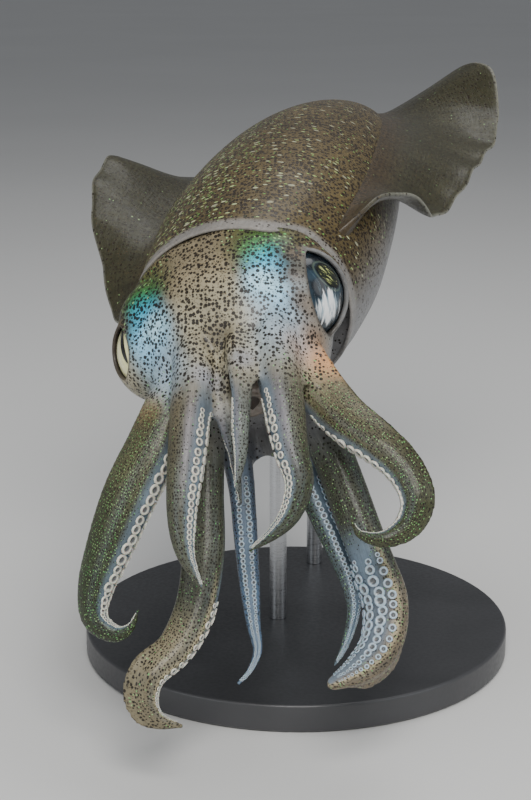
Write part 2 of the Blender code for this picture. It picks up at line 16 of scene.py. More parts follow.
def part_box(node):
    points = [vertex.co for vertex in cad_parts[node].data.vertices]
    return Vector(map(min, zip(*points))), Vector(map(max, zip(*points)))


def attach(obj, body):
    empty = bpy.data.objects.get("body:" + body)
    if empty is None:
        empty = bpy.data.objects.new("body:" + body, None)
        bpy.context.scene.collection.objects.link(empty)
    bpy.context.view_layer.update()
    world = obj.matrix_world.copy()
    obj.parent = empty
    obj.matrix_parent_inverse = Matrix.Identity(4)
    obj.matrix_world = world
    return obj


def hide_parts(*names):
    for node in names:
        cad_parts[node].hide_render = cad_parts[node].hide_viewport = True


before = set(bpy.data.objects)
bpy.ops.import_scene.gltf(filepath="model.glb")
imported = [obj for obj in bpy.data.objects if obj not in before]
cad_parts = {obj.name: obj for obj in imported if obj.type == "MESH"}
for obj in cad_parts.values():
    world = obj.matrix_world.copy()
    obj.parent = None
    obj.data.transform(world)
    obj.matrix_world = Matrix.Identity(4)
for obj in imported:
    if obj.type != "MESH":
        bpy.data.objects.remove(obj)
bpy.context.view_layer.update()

MM = 0.001

# Camera: lens in millimetres, place, and tilt below the level in degrees
CAMERA_LENS = 78.6
CAMERA_PLACE = (-0.009, -0.4847, 0.2045)
CAMERA_TILT = 15.0

# Lamps: place, aim, size, power and colour
LAMPS = {
    "key": ((0.05, -0.75, 0.75), (-0.01, -0.06, 0.10), 0.55, 8.5, (1.0, 0.98, 0.95)),
    "fill": ((0.75, -0.35, 0.45), (0.0, -0.03, 0.09), 0.6, 1.6, (0.93, 0.97, 1.0)),
    "side": ((-0.65, -0.50, 0.30), (-0.02, -0.05, 0.09), 0.5, 1.3, (0.93, 0.97, 1.0)),
    "top": ((0.1, 0.25, 0.9), (0.0, 0.0, 0.08), 0.6, 2.5, (1.0, 1.0, 1.0)),
}
ROOM_TINT, ROOM_LIGHT = (0.92, 0.95, 1.0, 1.0), 0.23
FLOOR_SIZE = 8.0

# Mantle, as in the solids. MANTLE_END is how far along it the skin still narrows.
MANTLE_LENGTH = 0.160
MANTLE_HALF_WIDTH = 0.0335
MANTLE_HALF_DEPTH = 0.0295
MANTLE_ARCH = 0.004
MANTLE_END = 0.9985
MANTLE_SIDES, MANTLE_STEPS = 230, 150
COLLAR_CENTRE = Vector((-15, -38, 108)) * MM
BODY_FORWARD = Vector((-0.243, -0.948, -0.206))
BODY_LEFT = Vector((0.885, -0.303, 0.354))
COLLAR_RECESS = 0.012
COLLAR_LOBE, COLLAR_BAY = 0.0055, 0.004
COLLAR_THICKNESS = 0.0010
LIP_STEPS = 6
COLLAR_PULL = 0.0008

# Fins: how far along the mantle each one is, its width in millimetres and its lift in degrees
FIN_START, FIN_END = 0.05, 0.985
FIN_ROOT_ANGLE = math.radians(17)
FIN_STATIONS = {
    1: [(0, 0, 20), (0.06, 6, 18), (0.13, 10, 5), (0.20, 14, -20), (0.28, 19, -46), (0.37, 23, -46),
        (0.47, 26, -36), (0.57, 29, -30), (0.67, 33, -24), (0.77, 36, -10), (0.86, 39, 8),
        (0.94, 29, 10), (1, 0, 0)],
    -1: [(0, 0, -15), (0.06, 13, -20), (0.12, 16, -8), (0.20, 19, 12), (0.28, 26, 32), (0.38, 32, 40),
         (0.50, 34, 40), (0.62, 31, 20), (0.75, 31, 5), (0.86, 32, 0), (0.94, 24, 0), (1, 0, 0)],
}
FIN_ROOT_DEPTH = 0.004
FIN_END_TUCK = 0.003
FIN_RIPPLE = 0.0005
# Half its thickness, what swells it by the root and how far, and what it loses by its edge
FIN_HALF, FIN_SWELL, FIN_SWELL_REACH, FIN_THINNING = 0.0011, 0.0026, 0.0052, 0.0006
FIN_STEPS, FIN_LANES = 230, 44

# Head and funnel
HEAD_CENTRE = Vector((-17, -46.5, 105)) * MM
HEAD_FORWARD = Vector((0.179, -0.786, -0.582))
HEAD_LEFT = Vector((0.909, -0.092, 0.404))
HEAD_HALF_WIDTH = 0.0255
HEAD_HALF_DEPTH = 0.0200
HEAD_SIDES, HEAD_STEPS = 72, 40
CROWN_FRONT = 0.020
NECK_SIZES = ((0.0258, 0.0226), (0.0294, 0.0260))
COLLAR_FILLING = ((-0.0117, 0.0262, 0.0230), (-0.0060, 0.0286, 0.0252), (-0.0030, 0.0289, 0.0254))
FUNNEL_SIDES = 40
BROW_PLACE = (-0.006, 0.0155, 0.006)
BROW_RADIUS = 0.0125
MOUTH_SIDES = 56
MOUTH_DROP = 0.001

# Eyes, with 1 for the left and -1 for the right. Places and directions are the head's own: ahead of it,
# aside and above.
EYE_RADIUS = 0.0123
EYE_PLACE = (-0.001, 0.0186, 0.003)
EYE_LOOKS = {1: (0.64, 1.0, 0.35), -1: (0.19, 0.97, 0.78)}
EYE_WALL = 0.0011
EYE_CLEARANCE = 0.0001
EYE_OPENINGS = {1: (0.0114, 0.0070), -1: (0.0070, 0.0061)}
EYE_SLIT = (0.66, -0.16, -0.76)
EYE_SLIT_POINTED = 1.35
EYE_SLIT_SIDES = 48
PUPIL_LOOKS = {1: (0.20, 0.88, 0.43), -1: (0.12, 0.62, 0.76)}
PUPIL_SLANTS = {1: (0.38, 0.39, -0.94), -1: (0.55, 0.03, -0.22)}
PUPIL_HALVES = {1: (0.0039, 0.0026), -1: (0.0046, 0.0009)}
SILVER_LOOKS = {1: (0.74, 0.66, 0.12), -1: (0.40, 0.60, 0.68)}
SILVER_REACH = {1: 0.0050, -1: 0.0095}
SILVER_TINTS = {1: ((0.92, 0.94, 0.94), (0.30, 0.42, 0.50)), -1: ((0.98, 0.95, 0.55), (0.92, 0.90, 0.46))}

# The one skin over head and limbs
SKIN_VOXEL = 0.00062
SKIN_SMOOTHING = 6

# Limbs' sections, the keel flap behind the end of each club, as a share of its half depth, and how much
# wider a club is than the limb before it
LIMB_STEPS = 200
LIMB_SIDES = 36
RING_SPACING = 0.0009
LEAST_DEPTH = 0.0007
FLAP = 0.7
CLUB_SWELL = 0.25

# Suckers: radius over the limb's half depth, the least and greatest radius, where they begin in metres
# and end as a share of the limb, where their rows run, from -1 to 1 across its face, how small they are
# in the outer rows, and how far chance changes their sizes and shifts them across and along
SUCKER_SHARE, CLUB_SHARE = 0.25, 0.27
SUCKER_LEAST, SUCKER_MOST = 0.00034, 0.00148
SUCKER_START, SUCKER_END = 0.0255, 0.985
SUCKER_ROWS = (-0.38, 0.38)
CLUB_ROWS = (-0.95, -0.32, 0.32, 0.95)
OUTER_ROW_SIZE = 0.78
SUCKER_SIZES = (0.84, 1.10)
SHIFT_ACROSS, SHIFT_ALONG = 0.05, 0.15
CUP_SIDES = 10
BLUE_LIMBS = ("tentacle_left", "arm_4_left", "arm_4_right")
DORSAL_LIMBS = ("arm_1_left", "arm_1_right", "arm_2_left", "arm_2_right")

# Pigment spots: how much finer they are on the arms than on the head, the radius of the head's map,
# and the spacing and size of the balls in its flesh over those of the marks on the map
ARM_SPOT_DENSITY = 1.55
HEAD_MAP_RADIUS = 0.022
# How far along the limbs the head's paint gives way to theirs
HEAD_FADE = (0.010, 0.026)
BALL_SPACING = 0.76
BALL_SIZE = 1.32

# Stand
BASE_RADIUS = 0.062
BASE_HEIGHT = 0.008
BASE_BEVEL = 0.0008
BASE_SIDES = 96
ROD_RADIUS = 0.0025
ROD_SIDES = 48
SHARP_ANGLE = math.radians(40)

# Tints: linear colours of the wet skin without its pigment spots, and how far the limbs' are darkened, partly
# as painted shade
LIMB_SHADE = 0.84
# MANTLE_BACK is partly painted shade: kept darker than the head, as the mantle lies farther from the light
MANTLE_BACK = Vector((0.098, 0.072, 0.028))
MANTLE_BELLY = Vector((0.20, 0.20, 0.205))
COLLAR_EDGE = Vector((0.25, 0.24, 0.23))
COLLAR_INSIDE = Vector((0.20, 0.19, 0.17))
# The fins' tints are partly painted shade: kept dark, as the fins lie farther from the light and partly in
# shadow
FIN_TINT = Vector((0.036, 0.034, 0.017))
FIN_BAND = Vector((0.050, 0.032, 0.014))
FIN_EDGE = Vector((0.24, 0.24, 0.20))
HEAD_TINT = Vector((0.36, 0.325, 0.222))
NAPE_TINT = Vector((0.135, 0.100, 0.052))
ORAL_TINT = Vector((0.15, 0.21, 0.28))
LID_RIM = Vector((0.05, 0.042, 0.036))
LID_SHELL = Vector((0.24, 0.25, 0.26))
VEIL_TINT = Vector((0.225, 0.215, 0.285))
SIDE_TINT = Vector((0.10, 0.13, 0.15))
FOLD_TINT = Vector((0.46, 0.40, 0.25))


class Frame:
    """An origin with forward, left and up directions."""

    def __init__(self, origin, forward, left):
        self.origin = origin
        self.forward = forward.normalized()
        self.left = (left - left.project(self.forward)).normalized()
        self.up = self.forward.cross(self.left)

    def point(self, forward, left, up):
        return self.origin + self.forward * forward + self.left * left + self.up * up

    def local(self, place):
        away = place - self.origin
        return away.dot(self.forward), away.dot(self.left), away.dot(self.up)


BODY = Frame(COLLAR_CENTRE, BODY_FORWARD, BODY_LEFT)
HEAD = Frame(HEAD_CENTRE, HEAD_FORWARD, HEAD_LEFT)
NECK = Frame(BODY.point(0, 0, -0.0005), BODY_FORWARD + HEAD_FORWARD, BODY_LEFT + HEAD_LEFT)

# Limbs: the route's points in millimetres, each with half the limb's depth there, the direction the
# suckers face at the root, width over depth, how far the other side narrows, and where a club starts.
# tint is the skin's colour at the root and at the tip, darker in part as painted shade where a limb lies
# deeper or farther from the light, and glitter how strongly its green dots show.
LIMBS = {
    "arm_1_left": dict(
        route=[(-15, -61, 110, 5.0), (-16, -71, 106, 3.4), (-15, -80, 98, 2.7), (-15, -86, 91, 2.3),
               (-15, -89, 84, 1.6), (-16, -91, 77, 0.5)],
        oral=(-0.8, 0.4, 0.2), flat=0.9, keel=0.2,
        tint=((0.18, 0.17, 0.14), (0.16, 0.18, 0.16)), glitter=0.1),
    "arm_2_right": dict(
        route=[(-25, -57, 108, 8.0), (-26, -66, 102, 6.6), (-27, -75, 93, 5.6), (-28, -83, 83, 5.0),
               (-29, -90, 71, 3.9), (-28, -94, 62, 2.5), (-24, -96, 54, 0.5)],
        oral=(0.85, -0.6, 0.1), flat=0.88, keel=0.3,
        tint=((0.20, 0.17, 0.105), (0.085, 0.090, 0.058)), glitter=0.15),
    "arm_2_left": dict(
        route=[(-7, -58, 112, 8.0), (-7, -69, 105, 6.6), (-5, -79, 96, 5.6), (-3, -87, 86, 4.5),
               (-1, -91, 79, 3.7), (-3, -93, 72, 2.9), (-7, -93, 67, 1.9), (-13, -92, 62, 0.5)],
        oral=(-0.9, -0.5, 0.0), flat=0.88, keel=0.3,
        tint=((0.16, 0.15, 0.11), (0.055, 0.065, 0.036)), glitter=0.3),
    "arm_3_left": dict(
        route=[(-4, -54, 106, 7.5), (1, -65, 99, 7.2), (9, -75, 91, 6.6), (18, -83, 86, 5.6),
               (24, -87, 81, 5.0), (27, -91, 75, 4.5), (25, -93, 69, 3.7), (19, -95, 66, 2.4),
               (13, -97, 68, 1.3), (11, -97, 72, 0.5)],
        oral=(-0.6, -0.2, -0.75), flat=0.70, keel=0.6,
        tint=((0.17, 0.15, 0.085), (0.052, 0.058, 0.026)), glitter=0.8),
    "arm_3_right": dict(
        route=[(-28, -50, 104, 8.0), (-30, -61, 95, 7.6), (-36, -70, 83, 7.4), (-42, -75, 71, 7.6),
               (-47, -78, 59, 6.6), (-51, -80, 48, 5.0), (-51, -83, 41, 3.6), (-46, -85, 38, 2.5),
               (-42, -86, 40, 1.4), (-40, -86, 45, 0.5)],
        oral=(0.85, -0.5, -0.3), flat=0.68, keel=0.6,
        tint=((0.12, 0.115, 0.060), (0.040, 0.055, 0.025)), glitter=1.0),
    "tentacle_left": dict(
        route=[(0, -52, 94, 7.0), (5, -60, 84, 6.4), (10, -67, 73, 6.2), (14, -73, 63, 6.2),
               (18, -77, 53, 6.0), (21, -80, 44, 5.6), (20, -85, 36, 5.2), (15, -89, 31, 4.2),
               (7, -93, 28, 1.7)],
        oral=(-0.6, -0.75, 0.1), flat=0.85, keel=0.4, club=0.55,
        tint=((0.065, 0.072, 0.048), (0.22, 0.17, 0.10)), glitter=0.5),
    "tentacle_right": dict(
        route=[(-24, -52, 92, 6.5), (-24, -60, 81, 5.8), (-24, -69, 69, 5.6), (-24, -76, 56, 5.9),
               (-26, -82, 44, 5.5), (-31, -87, 35, 4.8), (-37, -92, 30, 3.9), (-38, -94, 24, 3.3),
               (-35, -96, 20, 2.2), (-29, -97, 19, 0.6)],
        oral=(0.85, 0.4, 0.0), flat=0.85, keel=0.4, club=0.57,
        tint=((0.070, 0.076, 0.050), (0.23, 0.20, 0.125)), glitter=0.3),
    "arm_4_left": dict(
        route=[(-6, -49, 90, 6.5), (-3, -55, 81, 5.2), (1, -60, 71, 4.2), (5, -65, 62, 3.6),
               (9, -69, 54, 3.2), (12, -73, 47, 2.6), (13, -77, 41, 2.0), (11, -81, 34, 1.3),
               (8, -84, 29, 0.5)],
        oral=(0.5, -0.85, 0.0), flat=0.9, keel=0.3,
        tint=((0.060, 0.078, 0.060), (0.080, 0.11, 0.12)), glitter=0.8),
    "arm_4_right": dict(
        route=[(-17, -47, 91, 6.0), (-17, -53, 80, 4.4), (-15, -61, 67, 3.4), (-14, -66, 56, 3.1),
               (-13, -70, 45, 2.6), (-12, -74, 36, 1.9), (-11, -77, 30, 1.3), (-13, -78, 25, 0.9),
               (-16, -79, 22, 0.5)],
        oral=(0.0, -1.0, 0.0), flat=1.0, keel=0.2,
        tint=((0.08, 0.10, 0.14), (0.09, 0.16, 0.26)), glitter=0.1),
    "arm_1_right": dict(
        route=[(-19, -59, 107, 5.0), (-20, -66, 101, 3.4), (-18, -73, 93, 2.3), (-17, -77, 85, 1.8),
               (-16, -78, 77, 1.2), (-15, -78, 69, 0.5)],
        oral=(-0.7, 0.6, 0.0), flat=0.9, keel=0.2,
        tint=((0.17, 0.16, 0.13), (0.15, 0.17, 0.16)), glitter=0.1),
}

# Webs round the crown: each limb, and how far the web from it to the next one reaches along them
WEBS = [
    ("arm_1_right", 0.034), ("arm_2_right", 0.034), ("arm_3_right", 0.032), ("tentacle_right", 0.028),
    ("arm_4_right", 0.026), ("arm_4_left", 0.028), ("tentacle_left", 0.032), ("arm_3_left", 0.034),
    ("arm_2_left", 0.032), ("arm_1_left", 0.024),
]
WEB_THICKNESS = 0.0019
WEB_BAY = 0.34
WEB_HEIGHT = 0.45
WEB_STEPS, WEB_LANES = 22, 12

# Coloured areas on both sides of the head, among them a painted highlight and a painted shade: ahead of
# and beside its centre, reach, all in millimetres, colour and strength
WASHES = [
    (-9, 17, 8, (0.05, 0.085, 0.014), 0.9),
    (-5, 17, 5.5, (0.03, 0.24, 0.055), 0.85),
    (0, 18, 6, (0.03, 0.46, 0.68), 0.95),
    (6, 17, 6.5, (0.24, 0.62, 0.92), 0.92),
    (14, 16, 7, (0.34, 0.49, 0.62), 0.7),
    # Painted highlight: a near-white glow in the middle of the blue patch
    (4, 15.5, 4.0, (0.58, 0.88, 1.0), 0.75),
    (20, 13, 6, (0.32, 0.42, 0.50), 0.55),
    # Painted shade: the dark notch between the dorsal arms' roots
    (13.5, 1.5, 3.2, (0.11, 0.09, 0.055), 0.55),
    (23, 5, 3, (0.33, 0.35, 0.43), 0.5),
]
# The same on one side only: brown along the eye, and a flush where the third arm begins
SIDE_WASHES = {
    1: [(21, 23, 6.5, (0.56, 0.25, 0.08), 0.80), (-3, 23.5, 4.2, (0.11, 0.065, 0.025), 0.90),
        (3, 22.2, 3.7, (0.12, 0.070, 0.028), 0.85), (9, 21.7, 3.5, (0.15, 0.085, 0.035), 0.80),
        (15, 22, 3.2, (0.22, 0.12, 0.05), 0.65)],
    -1: [(21, 23, 5, (0.40, 0.24, 0.11), 0.30), (-2, 26, 4.5, (0.11, 0.065, 0.025), 0.90)],
}


def smooth_step(value, low, high):
    """0 at low, 1 at high, and an even ease between them."""
    t = min(max((value - low) / (high - low), 0.0), 1.0)
    return t * t * (3 - 2 * t)


def bend(value, power):
    """A value raised to a power, with its sign kept."""
    return math.copysign(abs(value) ** power, value)


def turns(sides, shift=0.0):
    """The angles of a full turn in equal parts. shift moves them on by a share of one part."""
    return [2 * math.pi * (k + shift) / sides for k in range(sides)]


def along(points, t):
    """The point at t, 0 to 1, on a smooth curve through evenly counted points."""
    last = len(points) - 1
    place = min(max(t, 0.0), 1.0) * last
    i = min(int(place), last - 1)
    f = place - i
    a, b, c, d = (points[min(max(k, 0), last)] for k in (i - 1, i, i + 1, i + 2))
    squared = (2 * a - 5 * b + 4 * c - d) * f ** 2
    return 0.5 * (2 * b + (c - a) * f + squared + (3 * b - a - 3 * c + d) * f ** 3)


def station(table, t):
    """The values after the first column of a table, eased between the rows on each side of t."""
    rows = [Vector(row) for row in table]
    i = max(k for k in range(len(rows) - 1) if k == 0 or rows[k][0] <= t)
    span = rows[i + 1][0] - rows[i][0]
    f = min(max((t - rows[i][0]) / span, 0.0), 1.0)
    slopes = []
    for k in (i, i + 1):
        before, after = rows[max(k - 1, 0)], rows[min(k + 1, len(rows) - 1)]
        slopes.append((after - before) / (after[0] - before[0]) * span)
    mixed = ((2 * f ** 3 - 3 * f ** 2 + 1) * rows[i] + (f ** 3 - 2 * f ** 2 + f) * slopes[0]
             + (3 * f ** 2 - 2 * f ** 3) * rows[i + 1] + (f ** 3 - f ** 2) * slopes[1])
    return tuple(mixed)[1:]


# Meshes

def add(name, data):
    """Sets a new object in the scene."""
    obj = bpy.data.objects.new(name, data)
    bpy.context.scene.collection.objects.link(obj)
    return obj


def add_mesh(bm, name):
    """Turns a bmesh into a smooth object."""
    mesh = bpy.data.meshes.new(name)
    bm.to_mesh(mesh)
    bm.free()
    mesh.shade_smooth()
    return add(name, mesh)


def finish(bm, name):
    """Turns a bmesh into a smooth object whose faces point outwards."""
    bmesh.ops.recalc_face_normals(bm, faces=bm.faces)
    return add_mesh(bm, name)


def loft(rings, name, start=None, end=None):
    """A closed skin over rings of equal count. A given start or end point closes that end as a fan."""
    bm = bmesh.new()
    rows = [[bm.verts.new(p) for p in ring] for ring in rings]
    count = len(rows[0])
    for low, high in zip(rows, rows[1:]):
        for k in range(count):
            n = (k + 1) % count
            bm.faces.new((low[k], low[n], high[n], high[k]))
    for row, tip in ((rows[0], start), (rows[-1], end)):
        if tip is None:
            bm.faces.new(row)
            continue
        centre = bm.verts.new(tip)
        for k in range(count):
            bm.faces.new((row[k], row[(k + 1) % count], centre))
    return finish(bm, name)


def turned_rings(profile, sides, centre=Vector()):
    """Rings round an upright axis, from (radius, height) points."""
    return [[centre + Vector((r * math.cos(a), r * math.sin(a), z)) for a in turns(sides)]
            for r, z in profile]


def thicken(grid, halves, name):
    """A closed sheet round a grid of places, given half its thickness at each.

    Each place has two vertices, one after the other, in the grid's order.
    """
    bm = bmesh.new()
    steps, lanes = len(grid) - 1, len(grid[0]) - 1
    low, top = [], []
    for i, row in enumerate(grid):
        low.append([])
        top.append([])
        for j, place in enumerate(row):
            down = grid[min(i + 1, steps)][j] - grid[max(i - 1, 0)][j]
            across = row[min(j + 1, lanes)] - row[max(j - 1, 0)]
            rise = down.cross(across).normalized() * halves[i][j]
            low[i].append(bm.verts.new(place - rise))
            top[i].append(bm.verts.new(place + rise))
    for sheet in (low, top):
        for i in range(steps):
            for j in range(lanes):
                bm.faces.new((sheet[i][j], sheet[i + 1][j], sheet[i + 1][j + 1], sheet[i][j + 1]))
    for i in range(steps):
        for j in (0, lanes):
            bm.faces.new((low[i][j], low[i + 1][j], top[i + 1][j], top[i][j]))
    for i in (0, steps):
        for j in range(lanes):
            bm.faces.new((low[i][j], low[i][j + 1], top[i][j + 1], top[i][j]))
    return finish(bm, name)


def drop(obj):
    """Removes a helper object together with its mesh."""
    mesh = obj.data
    bpy.data.objects.remove(obj)
    bpy.data.meshes.remove(mesh)


def settle(obj):
    """Replaces an object's mesh by what its modifiers make of it, and removes them."""
    mesh = bpy.data.meshes.new_from_object(obj.evaluated_get(bpy.context.evaluated_depsgraph_get()))
    obj.modifiers.clear()
    old = obj.data
    obj.data = mesh
    bpy.data.meshes.remove(old)
    mesh.name = obj.name
    mesh.shade_smooth()


def join(objects, name):
    """One object made of several, which are removed."""
    bm = bmesh.new()
    for obj in objects:
        bm.from_mesh(obj.data)
        drop(obj)
    return add_mesh(bm, name)


def cut(obj, cutters):
    """Takes the cutters out of an object, and removes them."""
    for cutter in cutters:
        modifier = obj.modifiers.new("cut", "BOOLEAN")
        modifier.operation = "DIFFERENCE"
        modifier.solver = "EXACT"
        modifier.object = cutter
    settle(obj)
    for cutter in cutters:
        drop(cutter)


def give(mesh, name, kind, values):
    """Stores one value for each vertex: a FLOAT, a FLOAT_VECTOR, or a FLOAT_COLOR of three numbers."""
    layer = mesh.attributes.new(name, kind, "POINT")
    if kind == "FLOAT":
        layer.data.foreach_set("value", values)
        return
    key, end = ("color", (1.0,)) if kind == "FLOAT_COLOR" else ("vector", ())
    layer.data.foreach_set(key, [c for value in values for c in (*value, *end)])


def give_paint(mesh, paints):
    """Stores each vertex's tint, amount of spots and of glitter, and where it is given, how solid it is."""
    tints, *rest = zip(*paints)
    give(mesh, "tint", "FLOAT_COLOR", tints)
    for name, values in zip(("spots", "glitter", "solid"), rest):
        give(mesh, name, "FLOAT", values)


# Mantle

def mantle_swell(s):
    """How full the mantle is at s, 0 at the collar to 1 at the tail, as a share of its widest."""
    s = min(s, MANTLE_END)
    return (1 - s ** 2.7) ** 0.78 * (0.92 + 0.08 * smooth_step(s, 0.0, 0.22))


def mantle_point(s, angle, grow=0.0):
    """A point of the mantle's skin, with the angle counted from the squid's left over its back."""
    swell = mantle_swell(s)
    side = math.cos(angle) * (MANTLE_HALF_WIDTH * swell + grow)
    rise = math.sin(angle) * (MANTLE_HALF_DEPTH * swell + grow)
    return BODY.point(-s * MANTLE_LENGTH, side, rise + MANTLE_ARCH * math.sin(math.pi * s))


def collar_reach(angle):
    """How far the collar's edge reaches forwards: a lobe over the nape, and a bay under the funnel."""
    lobe = COLLAR_LOBE * smooth_step(math.sin(angle), 0.55, 0.86)
    return lobe - COLLAR_BAY * smooth_step(-math.sin(angle), 0.5, 0.95)


def mantle_rows():
    """Each ring's share of the mantle's length, its growth outwards, and how far ahead it is set:
    from inside the collar over its rounded lip to the tail."""
    lip = 0.5 * COLLAR_THICKNESS
    rows = []
    for share in (1.0, 0.7, 0.4, 0.15):
        rows.append((share * COLLAR_RECESS / MANTLE_LENGTH, -COLLAR_THICKNESS - 0.0014 * share, 0.0))
    for k in range(LIP_STEPS + 1):
        turn = math.pi * k / LIP_STEPS
        rows.append((0.0, -lip - lip * math.cos(turn), lip * math.sin(turn)))
    for k in range(1, MANTLE_STEPS + 1):
        rows.append(((k / MANTLE_STEPS) ** 1.15 * MANTLE_END, 0.0, 0.0))
    return rows


def mantle_ring(s, grow, ahead, angles):
    ease = 1 - smooth_step(s, 0.0, 0.14)
    pull = COLLAR_PULL * (1 - smooth_step(s, 0.0, 0.08))
    return [mantle_point(s, a, grow - pull) + BODY.forward * (collar_reach(a) * ease + ahead) for a in angles]


def paint_mantle(s, angle, place, inside):
    """The paint at a place on the mantle, or inside its collar."""
    back = math.sin(angle)
    belly = smooth_step(-back, -0.15, 0.55)
    blotch = noise.noise(place * 130) * 0.5 + noise.noise(place * 45 + Vector((3, 1, 2)))
    tint = MANTLE_BACK.lerp(MANTLE_BELLY, belly) * (1 + 0.30 * blotch * (1 - belly))
    if back > 0:
        tint *= 0.82 + 0.18 * smooth_step(abs(math.cos(angle)), 0.0, 0.22)
    run = s * MANTLE_LENGTH
    edge = 1 - smooth_step(run, 0.0024, 0.0046)
    tint = tint.lerp(COLLAR_EDGE, 0.75 * edge)
    if inside:
        tint = tint.lerp(COLLAR_INSIDE, 0.7)
    spots = (1 - 0.70 * belly) * (1 - 0.70 * edge) * smooth_step(run, 0.0002, 0.0010)
    glitter = (1 - smooth_step(s, 0.15, 0.85)) * (1 - belly) * (1 - edge)
    # The shining dots and dashes are the skin's own; leaning them to the squid's right side, where the light
    # falls, is painted glint
    glitter *= 0.22 + 0.78 * smooth_step(-math.cos(angle), -0.40, 0.10)
    return tint, spots, glitter, 1.0


def lay_out_mantle(mesh, rows):
    """A UV map in metres: around the body from the middle of its back, and along it."""
    charts = []
    for s, _, _ in rows:
        girth = 0.5 * (MANTLE_HALF_WIDTH + MANTLE_HALF_DEPTH) * mantle_swell(s)
        charts += [(turn, girth, s * MANTLE_LENGTH) for turn in turns(MANTLE_SIDES)]
    charts += [(math.pi, 0.0, 0.0), (math.pi, 0.0, MANTLE_LENGTH)]
    uv = mesh.uv_layers.new(name="skin_map")
    for face in mesh.polygons:
        corners = [charts[v] for v in face.vertices]
        around = [turn for turn, _, _ in corners]
        wraps = max(around) - min(around) > math.pi
        for loop, (turn, girth, run) in zip(face.loop_indices, corners):
            if wraps and turn < math.pi:
                turn += 2 * math.pi
            uv.data[loop].uv = (turn * girth, run)


def make_mantle_skin():
    angles = [math.pi / 2 + turn for turn in turns(MANTLE_SIDES)]
    rows = mantle_rows()
    rings = [mantle_ring(*row, angles) for row in rows]
    mantle = loft(rings, "mantle_skin", BODY.point(-COLLAR_RECESS, 0, 0), BODY.point(-MANTLE_LENGTH, 0, 0))
    paints = []
    for (s, grow, _), ring in zip(rows, rings):
        paints += [paint_mantle(s, a, place, grow < -COLLAR_THICKNESS) for a, place in zip(angles, ring)]
    give_paint(mantle.data, paints + 2 * [(MANTLE_BACK, 0.5, 0.0, 1.0)])
    lay_out_mantle(mantle.data, rows)
    return mantle


# Fins

def fin_point(side, t, out):
    """A point in the fin's middle surface: out runs from 0 at the root to 1 at the edge."""
    s = FIN_START + (FIN_END - FIN_START) * t
    angle = FIN_ROOT_ANGLE if side > 0 else math.pi - FIN_ROOT_ANGLE
    root = mantle_point(s, angle, grow=-FIN_ROOT_DEPTH)
    width, lift = station(FIN_STATIONS[side], t)
    reach = (width * MM + FIN_ROOT_DEPTH - FIN_END_TUCK * (1 - smooth_step(width, 0.5, 6))) * out
    curl = math.radians(lift) * smooth_step(out, -0.6, 0.9)
    away = BODY.left * side * math.cos(curl) + BODY.up * math.sin(curl)
    ripple = FIN_RIPPLE * math.sin(t * 61 + 2 * side) * smooth_step(out, 0.7, 1.0) * smooth_step(width, 2, 12)
    return root + away * reach + BODY.up * ripple


def fin_half(out, run):
    """Half the fin's thickness: swollen at the root, and rounded off at the edge."""
    half = FIN_HALF + FIN_SWELL * math.exp(-(run / FIN_SWELL_REACH) ** 2) - FIN_THINNING * out
    return half * math.sqrt(max(1 - max(out - 0.96, 0) / 0.045, 0.05))


def paint_fin(t, out, width):
    """The fin's paint: a dark band by the root, clear olive, and a light edge. Band and olive are partly
    painted shade.
    """
    inner = width * MM * (1 - out)
    root_band = 1 - smooth_step(out * width, 2.0, 11.0)
    edge = (1 - smooth_step(inner, 0.0001, 0.0006)) * smooth_step(width, 5.0, 14.0)
    tint = FIN_TINT.lerp(FIN_BAND, 0.85 * root_band)
    tint *= 1 + 0.25 * noise.noise(Vector((t * 14, out * 3, width))) + 0.08 * math.sin(t * 260)
    return tint.lerp(FIN_EDGE, 0.8 * edge), 0.9 - 0.35 * out, 0.04 * (1 - edge)


def make_fin_skin(side, name):
    outs = [(j / FIN_LANES) ** 0.9 for j in range(FIN_LANES + 1)]
    grid, halves, paints, charts = [], [], [], []
    for i in range(FIN_STEPS + 1):
        t = i / FIN_STEPS
        width = station(FIN_STATIONS[side], t)[0]
        runs = [out * (width * MM + FIN_ROOT_DEPTH + 0.001) for out in outs]
        grid.append([fin_point(side, t, out) for out in outs])
        halves.append([side * fin_half(out, run) for out, run in zip(outs, runs)])
        for out, run in zip(outs, runs):
            paints += 2 * [paint_fin(t, out, width)]
            charts += 2 * [(run, t * MANTLE_LENGTH)]
    fin = thicken(grid, halves, name)
    give_paint(fin.data, paints)
    uv = fin.data.uv_layers.new(name="skin_map")
    for loop in fin.data.loops:
        uv.data[loop.index].uv = charts[loop.vertex_index]
    return fin


# Head and eyes

def aimed(side, ahead, aside, above):
    """A direction in the head's own, the other way round on its right."""
    return HEAD.forward * ahead + HEAD.left * aside * side + HEAD.up * above


def eye_axes(side):
    """The eye's centre, the directions across and down its opening, and its look."""
    look = aimed(side, *EYE_LOOKS[side]).normalized()
    slit = aimed(side, *EYE_SLIT)
    slit = (slit - slit.project(look)).normalized()
    ahead, aside, above = EYE_PLACE
    return HEAD.point(ahead, aside * side, above), slit.cross(look), slit, look


EYES = {side: eye_axes(side) for side in (1, -1)}


def ball(name, centre, radius, look=None, stretch=(1, 1, 1), segments=48, rings=32):
    """A sphere, drawn out along its own axes when it is given a direction to look in."""
    bm = bmesh.new()
    turn = look.to_track_quat("Z", "Y").to_matrix().to_4x4() if look else Matrix()
    place = Matrix.Translation(centre) @ turn @ Matrix.Diagonal((*stretch, 1))
    bmesh.ops.create_uvsphere(bm, u_segments=segments, v_segments=rings, radius=radius, matrix=place)
    return finish(bm, name)


def make_eye(side, name):
    centre, _, _, look = EYES[side]
    return ball(name, centre, EYE_RADIUS - EYE_CLEARANCE, look, segments=72, rings=48)


